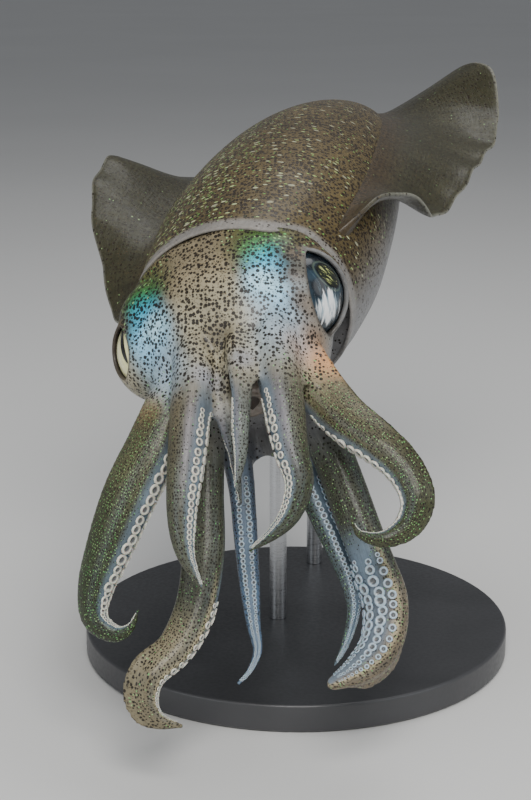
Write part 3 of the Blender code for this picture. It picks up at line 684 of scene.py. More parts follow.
def eye_opening(side):
    """The cutter for the opening between an eye's lids: a pointed oval along its look."""
    centre, across, slit, look = EYES[side]
    half_length, half_width = EYE_OPENINGS[side]
    oval = [across * bend(math.cos(a), EYE_SLIT_POINTED) * half_width + slit * math.sin(a) * half_length
            for a in turns(EYE_SLIT_SIDES)]
    rings = []
    for out, size in ((0.2, 0.95), (1.0, 1.0), (1.7, 1.15)):
        middle = centre + look * EYE_RADIUS * out
        rings.append([middle + spread * size for spread in oval])
    return loft(rings, "eye_opening")


def lid_marks(place):
    """How near the edge of an eye's opening a place is, and how far out on the left eye's clear shell."""
    rim, shell = 0.0, 0.0
    for side, (centre, across, slit, look) in EYES.items():
        half_length, half_width = EYE_OPENINGS[side]
        away = place - centre
        if away.dot(look) < -0.006 or away.length > EYE_RADIUS + 0.004:
            continue
        down = abs(away.dot(slit))
        width = half_width * max(1 - (down / half_length) ** 2, 0.0) ** (0.5 * EYE_SLIT_POINTED)
        beyond = max(abs(away.dot(across)) - width, down - half_length)
        rim = max(rim, 1 - smooth_step(beyond, 0.0001, 0.0007))
        outward = smooth_step(away.dot(HEAD.left), 0.0060, 0.0090)
        shell = max(shell, outward * (1 - smooth_step(beyond, 0.0007, 0.0020)))
    return rim, shell


def oval_ring(frame, forward, half_width, half_depth, rise=0.0):
    """One section across a frame, a little boxy, at a distance ahead of its origin."""
    boxy = [(bend(math.cos(a), 0.9), bend(math.sin(a), 0.9)) for a in turns(HEAD_SIDES)]
    return [frame.point(forward, x * half_width, y * half_depth + rise) for x, y in boxy]


def head_rings():
    """Sections of the head from the neck in the collar to the crown, with smooth ones between them."""
    w, d = HEAD_HALF_WIDTH, HEAD_HALF_DEPTH
    rings = [oval_ring(*section) for section in (
        (BODY, 0.0003 - COLLAR_RECESS, *NECK_SIZES[0]),
        (NECK, -0.002, *NECK_SIZES[1]),
        (NECK, 0.002, 0.98 * NECK_SIZES[1][0], 0.98 * NECK_SIZES[1][1]),
        (HEAD, -0.003, 1.05 * w, 1.10 * d),
        (HEAD, 0.004, 1.00 * w, 1.03 * d, 0.0005),
        (HEAD, 0.010, 0.94 * w, 0.95 * d),
        (HEAD, 0.85 * CROWN_FRONT, 0.80 * w, 0.80 * d, -0.0010),
        (HEAD, CROWN_FRONT, 0.60 * w, 0.60 * d, -0.0015),
    )]
    columns = list(zip(*rings))
    return [[along(column, k / HEAD_STEPS) for column in columns] for k in range(HEAD_STEPS + 1)]


def make_funnel():
    """The funnel under the head: a short bent cone, open at the front."""
    outside = [(-0.003, 0.0150, 0.0050), (0.003, 0.0172, 0.0052), (0.008, 0.0190, 0.0048),
               (0.013, 0.0208, 0.0043), (0.018, 0.0226, 0.0036)]
    bore = [(0.018, 0.0226, 0.0024), (0.008, 0.0190, 0.0022)]
    rings = [[HEAD.point(ahead, 1.25 * radius * math.cos(a), radius * math.sin(a) - below)
              for a in turns(FUNNEL_SIDES)] for ahead, below, radius in outside + bore]
    return loft(rings, "funnel")


def make_mouth():
    """The mouth between the arms: a folded lip around a small dark beak."""
    rings = []
    for forward, radius in ((-0.004, 0.0070), (0.001, 0.0068), (0.0027, 0.0058), (0.0031, 0.0048),
                            (0.0026, 0.0036), (0.0022, 0.0024)):
        ring = []
        for a in turns(MOUTH_SIDES):
            fold = 1 + 0.035 * math.cos(14 * a) * smooth_step(forward, 0.0, 0.003)
            aside, rise = fold * radius * math.cos(a), fold * radius * math.sin(a)
            ring.append(HEAD.point(CROWN_FRONT + forward, aside, rise - MOUTH_DROP))
        rings.append(ring)
    return loft(rings, "mouth_and_beak", end=HEAD.point(CROWN_FRONT + 0.0050, 0, -MOUTH_DROP))


# Arms and tentacles

class Limb:
    """A limb's centre line, its half depth and the directions across it."""

    def __init__(self, name, route, oral, flat, keel, tint, glitter, club=None):
        self.name, self.flat, self.keel, self.club, self.glitter = name, flat, keel, club, glitter
        self.tint = [Vector(colour) * LIMB_SHADE for colour in tint]
        points = [Vector(p[:3]) * MM for p in route]
        depths = [p[3] * MM for p in route]
        samples = [along(points, k / LIMB_STEPS) for k in range(LIMB_STEPS + 1)]
        self.length = sum((b - a).length for a, b in zip(samples, samples[1:]))
        self.frames = []
        facing = Vector(oral)
        run = 0.0
        for k, place in enumerate(samples):
            before = samples[max(k - 1, 0)]
            ahead = (samples[min(k + 1, LIMB_STEPS)] - before).normalized()
            facing = (facing - facing.project(ahead)).normalized()
            run += (place - before).length
            self.frames.append((run / self.length, place, ahead, facing, along(depths, k / LIMB_STEPS)))

    def at(self, t):
        """Place, direction, oral direction and half depth at a share of the limb's length."""
        for low, high in zip(self.frames, self.frames[1:]):
            if high[0] >= t:
                f = (t - low[0]) / max(high[0] - low[0], 1e-9)
                return tuple(a + (b - a) * f for a, b in zip(low[1:], high[1:]))
        return self.frames[-1][1:]

    def fullness(self, t):
        """Width over depth, which grows in a club."""
        if self.club is None:
            return self.flat
        return self.flat * (1 + CLUB_SWELL * smooth_step(t, self.club - 0.05, self.club + 0.15))

    def flap(self, t):
        """How far the keel stands out behind the end of a club, as a share of the half depth."""
        if self.club is None:
            return 0.0
        return FLAP * smooth_step(t, 0.70, 0.86) * (1 - smooth_step(t, 0.90, 0.97))

    def ring(self, t):
        """A section: blunt with raised edges on the oral side, keeled on the other."""
        place, ahead, oral, depth = self.at(t)
        across = ahead.cross(oral)
        depth = max(depth, LEAST_DEPTH)
        wide = depth * self.fullness(t)
        points = []
        for a in turns(LIMB_SIDES, 0.5):
            x, y = math.cos(a), math.sin(a)
            if y > 0:
                x, y = x * (1 + 0.12 * y), 0.82 * y
            else:
                x *= 1 - self.keel * y * y
                y *= 1 + self.flap(t) * math.exp(-(x / 0.25) ** 2)
            points.append(place + across * x * wide + oral * y * depth)
        return points

    def loft(self):
        count = round(self.length / RING_SPACING)
        place, ahead, _, depth = self.at(1.0)
        return loft([self.ring(k / count) for k in range(count + 1)], self.name, end=place + ahead * depth)


def web_between(first, second, reach):
    """A thin web between two limbs, on their outer side, with a hollow free edge."""

    def outer(limb, run):
        place, _, _, depth = limb.at(run / limb.length)
        away = place - HEAD.point(HEAD.local(place)[0], 0, -0.001)
        return place + away.normalized() * depth * WEB_HEIGHT

    grid, halves = [], []
    for i in range(WEB_STEPS + 1):
        row = []
        for j in range(WEB_LANES + 1):
            share = j / WEB_LANES
            run = reach * i / WEB_STEPS * (1 - WEB_BAY * math.sin(math.pi * share))
            row.append(outer(first, run).lerp(outer(second, run), share))
        grid.append(row)
        halves.append([0.5 * WEB_THICKNESS * (1.6 - 0.9 * i / WEB_STEPS)] * len(row))
    return thicken(grid, halves, "web")


def make_flesh_skin(limbs):
    """Head, funnel, arms and tentacles under one skin, with lids open over the eyes."""
    parts = [loft(head_rings(), "head")]
    cutters = []
    ahead, aside, above = BROW_PLACE
    for side, (centre, _, _, look) in EYES.items():
        parts.append(ball("eye_bulge", centre, EYE_RADIUS + EYE_WALL, look, stretch=(1.03, 1.03, 1)))
        parts.append(ball("brow", HEAD.point(ahead, aside * side, above), BROW_RADIUS))
        cutters.append(eye_opening(side))
        cutters.append(ball("eye_room", centre, EYE_RADIUS + EYE_CLEARANCE, look))
    parts.append(loft([oval_ring(BODY, *sizes) for sizes in COLLAR_FILLING], "collar_filling"))
    parts.append(make_funnel())
    parts += [limb.loft() for limb in limbs.values()]
    for (name, reach), (next_name, _) in zip(WEBS, WEBS[1:] + WEBS[:1]):
        parts.append(web_between(limbs[name], limbs[next_name], reach))
    skin = join(parts, "head_and_arms_skin")
    remesh = skin.modifiers.new("one_skin", "REMESH")
    remesh.mode = "VOXEL"
    remesh.voxel_size = SKIN_VOXEL
    smooth = skin.modifiers.new("soften", "SMOOTH")
    smooth.factor = 0.5
    smooth.iterations = SKIN_SMOOTHING
    settle(skin)
    cut(skin, cutters)
    return skin


def limb_tint(limb, t, oral, place):
    """A limb's tint, and how far a place is on its sucker face, and on the veil at the upper arms' roots."""
    run = t * limb.length
    face = smooth_step(oral, 0.50, 0.88)
    fold = 0.0
    span = (0.25, 0.75)
    if limb.club:
        face *= smooth_step(t, limb.club - 0.12, limb.club)
        fold = math.exp(-((oral - 0.42) / 0.12) ** 2) * smooth_step(t, limb.club - 0.10, limb.club + 0.05)
        span = (limb.club, limb.club + 0.15)
    band = math.exp(-((oral - 0.12) / 0.20) ** 2) * (0.6 + 0.4 * noise.noise(place * 90))
    veil = smooth_step(oral, 0.10, 0.45) * (1 - face) * smooth_step(run, 0.014, 0.030)
    veil *= (1 - smooth_step(run, 0.034, 0.055)) * (limb.name in DORSAL_LIMBS)
    tint = limb.tint[0].lerp(limb.tint[1], smooth_step(t, *span))
    tint = tint.lerp(SIDE_TINT, 0.40 * band).lerp(FOLD_TINT, 0.75 * fold)
    return tint.lerp(ORAL_TINT, 0.75 * face).lerp(VEIL_TINT, 0.45 * veil), face, veil


def head_tint(forward, aside, belly):
    """Tint and amount of spots on the head."""
    nape = smooth_step(-forward, -0.009, 0.006) * (0.70 + 0.30 * smooth_step(abs(aside), 0.004, 0.014))
    tint = HEAD_TINT.lerp(NAPE_TINT, nape).lerp(MANTLE_BELLY, belly)
    crown = math.exp(-(aside / 0.009) ** 2) * smooth_step(forward, -0.004, 0.010)
    by_eyes = math.exp(-((abs(aside) - 0.016) / 0.007) ** 2 - ((forward - 0.003) / 0.010) ** 2)
    return tint, (1 - 0.75 * belly) * (0.92 + 0.50 * crown + 0.35 * nape + 0.22 * by_eyes)


def wash(tint, forward, aside, belly):
    """Lays the coloured areas by the eyes, and the painted highlight and shade among them, over a tint."""
    for ahead, beside, reach, colour, strength in WASHES + SIDE_WASHES[1 if aside > 0 else -1]:
        away = math.hypot(forward / MM - ahead, abs(aside) / MM - beside) / reach
        tint = tint.lerp(Vector(colour), strength * math.exp(-away ** 3) * (1 - belly))
    return tint


def paint_flesh(place, score, limb, t, centre, facing):
    """The paint at a place on the head or a limb, and how far it is on the head.

    score is the distance to the limb's centre line over its half depth.
    """
    run = t * limb.length
    on_head = 1 - smooth_step(run, *HEAD_FADE)
    forward, aside, above = HEAD.local(place)
    belly = smooth_step(-above, -0.004, 0.008)
    tint, face, veil = limb_tint(limb, t, (place - centre).normalized().dot(facing), place)
    on_top, head_spots = head_tint(forward, aside, belly)
    tint = wash(tint.lerp(on_top, on_head), forward, aside, belly)
    tint *= 1 + 0.22 * noise.noise(place * 160) + 0.22 * noise.noise(place * 60 + Vector((5, 2, 7)))
    rim, shell = lid_marks(place) if on_head > 0 else (0.0, 0.0)
    tint = tint.lerp(LID_SHELL, 0.9 * shell).lerp(LID_RIM, (0.85 - 0.45 * shell) * rim)
    bare = (1 - rim) * (1 - shell)
    spots = 0.85 * (1 - 0.9 * face)
    spots = (spots + (head_spots - spots) * on_head) * bare * (1 - 0.7 * veil)
    glitter = limb.glitter * (1 - face)
    green = 0.75 * smooth_step(-forward, -0.002, 0.008) * (1 - belly) * smooth_step(abs(aside), 0.004, 0.016)
    glitter = (glitter + (green - glitter) * on_head) * bare
    solid = max(1 - smooth_step(run, 0.020, 0.030), smooth_step(score, 1.15, 1.5))
    return (tint, spots, glitter, solid), on_head


def cover_flesh(mesh, limbs):
    """Paints the skin of the head and the limbs, each place by the limb it is deepest in, and maps it."""
    samples = [(limb, *frame) for limb in limbs.values() for frame in limb.frames[::2]]
    tree = KDTree(len(samples))
    for k, sample in enumerate(samples):
        tree.insert(sample[2], k)
    tree.balance()
    paints, homes = [], []
    for vert in mesh.vertices:
        found = tree.find_n(vert.co, 10)
        score, k = min(((distance / max(samples[k][5], LEAST_DEPTH), k) for _, k, distance in found),
                       key=lambda near: near[0])
        limb, t, centre, _, facing, _ = samples[k]
        paint, on_head = paint_flesh(vert.co, score, limb, t, centre, facing)
        paints.append(paint)
        homes.append((samples[k], on_head > 0.5))
    give_paint(mesh, paints)
    lay_out_flesh(mesh, homes)


def chart_place(place, sample, on_head):
    """A place laid flat in metres: the turn about the head's or the limb's line, its radius, and the run."""
    limb, t, centre, ahead, facing, depth = sample
    if on_head:
        forward, aside, above = HEAD.local(place)
        return math.atan2(aside, above), HEAD_MAP_RADIUS, forward - 0.8 * math.hypot(aside, above)
    away = place - centre
    turn = math.atan2(away.dot(ahead.cross(facing)), -away.dot(facing))
    run = t * limb.length + away.dot(ahead)
    return turn, depth * ARM_SPOT_DENSITY, run * ARM_SPOT_DENSITY + 0.1 * list(LIMBS).index(limb.name)


def lay_out_flesh(mesh, homes):
    """A UV map in metres for the spots: over the head, and around and along each limb."""
    uv = mesh.uv_layers.new(name="skin_map")
    charts = [chart_place(vert.co, *home) for vert, home in zip(mesh.vertices, homes)]
    for face in mesh.polygons:
        lead = face.vertices[0]
        sample, on_head = homes[lead]
        first = charts[lead][0]
        for loop, v in zip(face.loop_indices, face.vertices):
            same = homes[v][1] == on_head and (on_head or homes[v][0][0] is sample[0])
            turn, radius, run = charts[v] if same else chart_place(mesh.vertices[v].co, sample, on_head)
            if turn - first > math.pi:
                turn -= 2 * math.pi
            elif first - turn > math.pi:
                turn += 2 * math.pi
            uv.data[loop].uv = (turn * radius, run)


# Stand

def make_base():
    arc = [(1 - math.cos(a), math.sin(a)) for a in (0.0, 0.4, 0.8, 1.2, math.pi / 2)]
    profile = [(BASE_RADIUS - BASE_BEVEL, 0.0), (BASE_RADIUS, BASE_BEVEL)]
    profile += [(BASE_RADIUS - BASE_BEVEL * x, BASE_HEIGHT - BASE_BEVEL + BASE_BEVEL * y) for x, y in arc]
    return sharpen(loft(turned_rings(profile, BASE_SIDES), "display_base"))


def make_rod(node, name):
    low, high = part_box(node)
    foot = Vector(((low.x + high.x) / 2, (low.y + high.y) / 2, 0))
    profile = [(ROD_RADIUS, low.z - 0.0002), (ROD_RADIUS, high.z)]
    return sharpen(loft(turned_rings(profile, ROD_SIDES, foot), name))


def sharpen(obj):
    """Keeps hard edges hard on a smooth object."""
    obj.data.set_sharp_from_angle(angle=SHARP_ANGLE)
    return obj


# Nodes

class Nodes:
    """A node tree with short ways to add to it. Apart from put, each gives the new node's result."""

    def __init__(self, tree):
        self.tree = tree

    def feed(self, socket, value):
        """Links a result to a socket, or sets its plain value, with colours as three numbers."""
        if isinstance(value, bpy.types.NodeSocket):
            self.tree.links.new(value, socket)
        else:
            socket.default_value = (*value, 1.0) if socket.type == "RGBA" else value

    def put(self, kind, sockets=None, **settings):
        """Adds a node, sets its properties, and feeds its input sockets."""
        node = self.tree.nodes.new(kind)
        for key, value in settings.items():
            setattr(node, key, value)
        for key, value in (sockets or {}).items():
            self.feed(node.inputs[key], value)
        return node

    def calc(self, operation, a, b=0.0):
        return self.put("ShaderNodeMath", {0: a, 1: b}, operation=operation).outputs[0]

    def plus(self, a, b):
        return self.calc("ADD", a, b)

    def times(self, a, b):
        return self.calc("MULTIPLY", a, b)

    def vector(self, operation, a, b=(0.0, 0.0, 0.0)):
        node = self.put("ShaderNodeVectorMath", {0: a, 1: b}, operation=operation)
        return node.outputs["Value" if operation in ("LENGTH", "DOT_PRODUCT") else "Vector"]

    def step(self, value, low, high, start=0.0, end=1.0):
        """An eased step of a value from low to high."""
        sockets = {"Value": value, "From Min": low, "From Max": high, "To Min": start, "To Max": end}
        return self.put("ShaderNodeMapRange", sockets, interpolation_type="SMOOTHSTEP").outputs["Result"]

    def mix(self, factor, a, b, mode="MIX"):
        sockets = {0: factor, 6: a, 7: b}
        return self.put("ShaderNodeMix", sockets, data_type="RGBA", blend_type=mode).outputs[2]

    def noise(self, place, scale, detail, **sockets):
        sockets = {"Vector": place, "Scale": scale, "Detail": detail, **sockets}
        return self.put("ShaderNodeTexNoise", sockets).outputs[0]

    def mapped(self, place, scale, shift=(0.0, 0.0, 0.0)):
        return self.put("ShaderNodeMapping", {"Vector": place, "Scale": scale, "Location": shift}).outputs[0]

    def read(self, attribute, output="Fac"):
        return self.put("ShaderNodeAttribute", attribute_name=attribute).outputs[output]


class Finish(Nodes):
    """A material's nodes, with its Principled shader and the place on the piece."""

    def __init__(self, name, **shader_values):
        self.material = bpy.data.materials.new(name)
        self.material.use_nodes = True
        super().__init__(self.material.node_tree)
        self.shader = self.tree.nodes["Principled BSDF"].inputs
        for key, value in shader_values.items():
            self.shader[key.replace("_", " ")].default_value = value
        self.place = self.put("ShaderNodeTexCoord").outputs["Object"]

    def surface(self, colour, roughness=None, relief=None):
        """Feeds the shader, with relief a height, its strength and its depth, and gives the material."""
        self.feed(self.shader["Base Color"], colour)
        if roughness is not None:
            self.feed(self.shader["Roughness"], roughness)
        if relief:
            height, strength, depth = relief
            bump = self.put("ShaderNodeBump", {"Height": height, "Strength": strength, "Distance": depth})
            self.feed(self.shader["Normal"], bump.outputs[0])
        return self.material


def new_group(name, inputs, outputs, kind="ShaderNodeTree"):
    """An empty node group with named sockets: its nodes, what it is given, and its output sockets."""
    nodes = Nodes(bpy.data.node_groups.new(name, kind))
    for in_out, sockets in (("INPUT", inputs), ("OUTPUT", outputs)):
        for label, what in sockets.items():
            nodes.tree.interface.new_socket(label, in_out=in_out, socket_type="NodeSocket" + what)
    return nodes, nodes.put("NodeGroupInput").outputs, nodes.put("NodeGroupOutput").inputs


# Suckers

def sucker_places(limb, tree):
    """Where each sucker sits, its facing, its radius, and how blue it is."""
    if limb.club:
        rows, share, pace, lean = CLUB_ROWS, CLUB_SHARE, 1.0, 0.85
        t = limb.club + 0.005
    else:
        rows, share, pace, lean = SUCKER_ROWS, SUCKER_SHARE, 0.9, 0.8
        t = max(0.12, SUCKER_START / limb.length)
    found = []
    chance = random.Random(limb.name)
    beat = 0
    while t < SUCKER_END:
        place, ahead, oral, depth = limb.at(t)
        across = ahead.cross(oral)
        if limb.club:
            most = 0.55 + 0.65 * smooth_step(t, limb.club, limb.club + 0.08)
        else:
            most = 0.45 + 0.55 * smooth_step(t * limb.length, SUCKER_START, SUCKER_START + 0.012)
        fade = 1 - 0.45 * smooth_step(t, 0.75, 1.0)
        radius = min(max(share * depth * fade, SUCKER_LEAST), SUCKER_MOST * most)
        for row in rows[beat % 2::2]:
            size = radius * chance.uniform(*SUCKER_SIZES) * (1.0 if abs(row) < 0.5 else OUTER_ROW_SIZE)
            row += chance.uniform(-SHIFT_ACROSS, SHIFT_ACROSS)
            out = (oral + across * (row * lean)).normalized()
            start = place + across * row * depth * limb.fullness(t) * 0.35
            start += ahead * radius * chance.uniform(-SHIFT_ALONG, SHIFT_ALONG)
            hit, normal, _, distance = tree.ray_cast(start, out, 2.5 * depth)
            if hit is not None and distance <= 1.25 * depth:
                facing = (normal * 0.6 + out * 0.4).normalized()
                found.append((hit, facing, size, 1.0 if limb.name in BLUE_LIMBS else 0.0))
        beat += 1
        t += pace * radius / limb.length
    return found


def cup_mesh():
    """One sucker of radius 1, facing +Z: a stalk, a swollen ring and a hollow."""
    # Each point: radius, height, and how much painted shade the finish lays there: full in the hollow, some
    # on the stalk under the ring
    profile = [(0.50, -0.55, 0.45), (0.62, -0.05, 0.15), (1.00, 0.22, 0.0), (0.92, 0.50, 0.0),
               (0.60, 0.46, 0.35), (0.42, 0.12, 1.0)]
    rings = turned_rings([ring[:2] for ring in profile], CUP_SIDES)
    cup = loft(rings, "sucker_cup", end=Vector((0, 0, 0.10)))
    give(cup.data, "hollow", "FLOAT", [ring[2] for ring in profile for _ in range(CUP_SIDES)] + [1.0])
    return cup


def sucker_tree():
    """Sets a cup on every point, turned to its facing and scaled to its size."""
    inputs = {"Points": "Geometry", "Cup": "Object", "Finish": "Material", "Size": "Float"}
    nodes, given, out = new_group("suckers_on_skin", inputs, {"Suckers": "Geometry"}, "GeometryNodeTree")
    named = "GeometryNodeInputNamedAttribute"
    facing = nodes.put(named, {"Name": "facing"}, data_type="FLOAT_VECTOR").outputs["Attribute"]
    radius = nodes.put(named, {"Name": "radius"}, data_type="FLOAT").outputs["Attribute"]
    turn = nodes.put("FunctionNodeAlignRotationToVector", {"Vector": facing}, axis="Z")
    cup = nodes.put("GeometryNodeObjectInfo", {"Object": given["Cup"]})
    spread = nodes.put("GeometryNodeInstanceOnPoints", {
        "Points": given["Points"], "Instance": cup.outputs["Geometry"], "Rotation": turn.outputs["Rotation"],
        "Scale": nodes.times(radius, given["Size"])})
    real = nodes.put("GeometryNodeRealizeInstances", {"Geometry": spread.outputs["Instances"]})
    paint = nodes.put("GeometryNodeSetMaterial", {"Geometry": real.outputs["Geometry"],
                                                  "Material": given["Finish"]})
    nodes.feed(out["Suckers"], paint.outputs["Geometry"])
    return nodes.tree


def make_suckers(limbs, skin, material):
    bm = bmesh.new()
    bm.from_mesh(skin.data)
    tree = BVHTree.FromBMesh(bm)
    bm.free()
    found = [place for limb in limbs.values() for place in sucker_places(limb, tree)]
    places, facings, radii, blues = zip(*found)
    mesh = bpy.data.meshes.new("suckers")
    mesh.from_pydata(places, [], [])
    give(mesh, "facing", "FLOAT_VECTOR", facings)
    give(mesh, "radius", "FLOAT", radii)
    give(mesh, "blue", "FLOAT", blues)
    suckers = add("suckers", mesh)
    cup = cup_mesh()
    modifier = suckers.modifiers.new("suckers", "NODES")
    modifier.node_group = sucker_tree()
    for name, value in (("Cup", cup), ("Finish", material), ("Size", 1.0)):
        modifier[modifier.node_group.interface.items_tree[name].identifier] = value
    settle(suckers)
    drop(cup)
    return suckers


# Finishes

def spots_group(name, dimensions):
    """Round marks of mixed sizes: Spacing in metres, Size the greatest radius over the spacing,
    Share the part of them that shows. In 3D they are balls in the flesh that the surface cuts."""
    inputs = {"Vector": "Vector", "Spacing": "Float", "Size": "Float", "Share": "Float", "Softness": "Float"}
    nodes, given, out = new_group(name, inputs, {"Mask": "Float", "Chance": "Float"})
    scale = nodes.calc("DIVIDE", 1.0, given["Spacing"])
    cells = nodes.put("ShaderNodeTexVoronoi", {"Vector": given["Vector"], "Scale": scale, "Randomness": 0.76},
                      voronoi_dimensions=dimensions).outputs
    chances = nodes.put("ShaderNodeSeparateColor", {"Color": cells["Color"]}).outputs
    size = nodes.times(given["Size"], nodes.step(chances[0], 0.0, 1.0, 0.55, 1.0))
    core = nodes.times(size, nodes.calc("SUBTRACT", 1.0, given["Softness"]))
    shown = nodes.calc("LESS_THAN", chances[1], given["Share"])
    nodes.feed(out["Mask"], nodes.times(nodes.step(cells["Distance"], size, core), shown))
    nodes.feed(out["Chance"], chances[2])
    return nodes.tree


def skin_group(marks, balls):
    """Wet squid skin: mottled tint, two sizes of pigment spots, shining dots, and light dashes.
    Solid, 0 to 1, takes the pigment spots from balls in the flesh in place of marks on the map."""
    inputs = {
        "Vector": "Vector", "Spot Vector": "Vector", "Tint": "Color", "Spots": "Float", "Glitter": "Float",
        "Dashes": "Float", "Spot Spacing": "Float", "Spot Size": "Float", "Solid": "Float", "Dark": "Color",
        "Shine": "Color"}
    outputs = {"Color": "Color", "Roughness": "Float", "Height": "Float"}
    nodes, given, out = new_group("squid_skin", inputs, outputs)
    times, plus, mix = nodes.times, nodes.plus, nodes.mix
    spots, glitter, chart = given["Spots"], given["Glitter"], given["Spot Vector"]

    def spread(group, vector, spacing, size, share, softness):
        sockets = {"Vector": vector, "Spacing": spacing, "Size": size, "Share": share, "Softness": softness}
        return nodes.put("ShaderNodeGroup", sockets, node_tree=group).outputs

    def pigment(vector, spacing, size, share, softness):
        """The mask of marks or balls, and the chance that each mark drew."""
        flat = spread(marks, vector, spacing, size, share, softness)
        spacing, size = times(spacing, BALL_SPACING), times(size, BALL_SIZE)
        cuts = spread(balls, given["Vector"], spacing, size, share, softness)
        masks = {0: given["Solid"], 2: flat["Mask"], 3: cuts["Mask"]}
        return nodes.put("ShaderNodeMix", masks, data_type="FLOAT").outputs[0], flat["Chance"]

    grain = nodes.noise(given["Vector"], 700.0, 5.0)
    cloud = nodes.noise(given["Vector"], 110.0, 3.0)
    streak = nodes.noise(nodes.mapped(chart, (1400.0, 130.0, 1.0)), 1.0, 3.0)
    shade = plus(times(plus(times(grain, 0.55), times(cloud, 0.70)), 1.05), times(streak, 0.75))
    lifted = nodes.put("ShaderNodeCombineColor", {0: shade, 1: shade, 2: shade}).outputs[0]
    colour = mix(0.85, given["Tint"], mix(1.0, given["Tint"], lifted, "MULTIPLY"))
    fullness = plus(times(spots, 0.45), 0.55)
    moved = nodes.mapped(chart, (1, 1, 1), (0.013, 0.027, 0))
    closer = times(given["Spot Spacing"], 0.60)
    small, chance = pigment(moved, closer, times(fullness, 0.30), times(spots, 0.80), 0.45)
    colour = mix(times(small, 0.80), colour, mix(chance, given["Dark"], (0.10, 0.055, 0.022)))
    widest = times(fullness, given["Spot Size"])
    large, _ = pigment(chart, given["Spot Spacing"], widest, times(spots, 1.15), 0.28)
    colour = mix(times(large, 0.96), colour, given["Dark"])
    moved = nodes.mapped(chart, (1, 1, 1), (0.031, 0.007, 0))
    dots = spread(marks, moved, 0.0011, 0.30, times(glitter, 0.50), 0.4)
    beam = mix(dots["Chance"], given["Shine"], (0.42, 0.62, 0.26))
    clear = nodes.calc("SUBTRACT", 1.0, times(large, 0.85))
    colour = mix(times(times(dots["Mask"], clear), 0.8), colour, beam)
    drawn = nodes.mapped(chart, (0.62, 1.15, 1.0))
    dashes = spread(marks, drawn, 0.0020, 0.21, times(glitter, given["Dashes"]), 0.35)
    beam = mix(dashes["Chance"], (0.62, 0.64, 0.42), (0.34, 0.52, 0.12))
    colour = mix(times(dashes["Mask"], 0.85), colour, beam)
    share = times(given["Dashes"], nodes.step(spots, 0.40, 1.0, 0.0, 0.50))
    drawn = nodes.mapped(chart, (0.78, 1.0, 1.0), (0.0, 0.011, 0.0))
    ovals = spread(marks, drawn, 0.0044, 0.17, share, 0.55)
    nodes.feed(out["Color"], mix(times(ovals["Mask"], 0.70), colour, (0.44, 0.44, 0.30)))
    nodes.feed(out["Roughness"], nodes.step(grain, 0.2, 0.8, 0.34, 0.56))
    nodes.feed(out["Height"], plus(plus(times(grain, 0.8), times(streak, 0.5)), times(large, -0.30)))
    return nodes.tree


def wet_skin(name, group, spacing, size, dark, shine, flow=(1.0, 1.0, 1.0), dashes=0.0):
    """A skin finish fed by the mesh's own paint. flow stretches the spots on the UV map."""
    skin = Finish(name, IOR=1.38, Coat_Weight=0.18, Coat_Roughness=0.20, Subsurface_Weight=0.10,
                  Subsurface_Scale=0.0015, Subsurface_Radius=(1.0, 0.75, 0.55))
    chart = skin.mapped(skin.put("ShaderNodeUVMap", uv_map="skin_map").outputs["UV"], flow)
    wobble = skin.put("ShaderNodeTexNoise", {"Vector": skin.place, "Scale": 420.0, "Detail": 2.0})
    shift = skin.vector("MULTIPLY", wobble.outputs["Color"], (0.0004, 0.0004, 0.0004))
    made = skin.put("ShaderNodeGroup", {
        "Vector": skin.place, "Spot Vector": skin.vector("ADD", chart, shift),
        "Tint": skin.read("tint", "Color"), "Spots": skin.read("spots"), "Glitter": skin.read("glitter"),
        "Solid": skin.read("solid"),
        "Dashes": dashes, "Spot Spacing": spacing, "Spot Size": size, "Dark": dark, "Shine": shine,
    }, node_tree=group).outputs
    return skin.surface(made["Color"], made["Roughness"], (made["Height"], 0.45, 0.0005))


def sucker_finish():
    """Cream or bluish rings, with painted shade darkening their hollows."""
    ring = Finish("sucker_rings", IOR=1.38, Coat_Weight=0.5, Coat_Roughness=0.1, Subsurface_Weight=0.1,
                  Subsurface_Scale=0.001)
    rim = ring.mix(ring.read("blue"), (0.74, 0.72, 0.62), (0.46, 0.60, 0.72))
    grain = ring.noise(ring.place, 900.0, 3.0)
    rim = ring.mix(ring.step(grain, 0.3, 0.75, 0.0, 0.45), rim, (0.42, 0.43, 0.40))
    # Painted shade: the hollows and the stalks under the rings are darkened
    colour = ring.mix(ring.step(ring.read("hollow"), 0.2, 0.9), rim, (0.12, 0.125, 0.13))
    return ring.surface(colour, ring.step(grain, 0.2, 0.8, 0.22, 0.40))


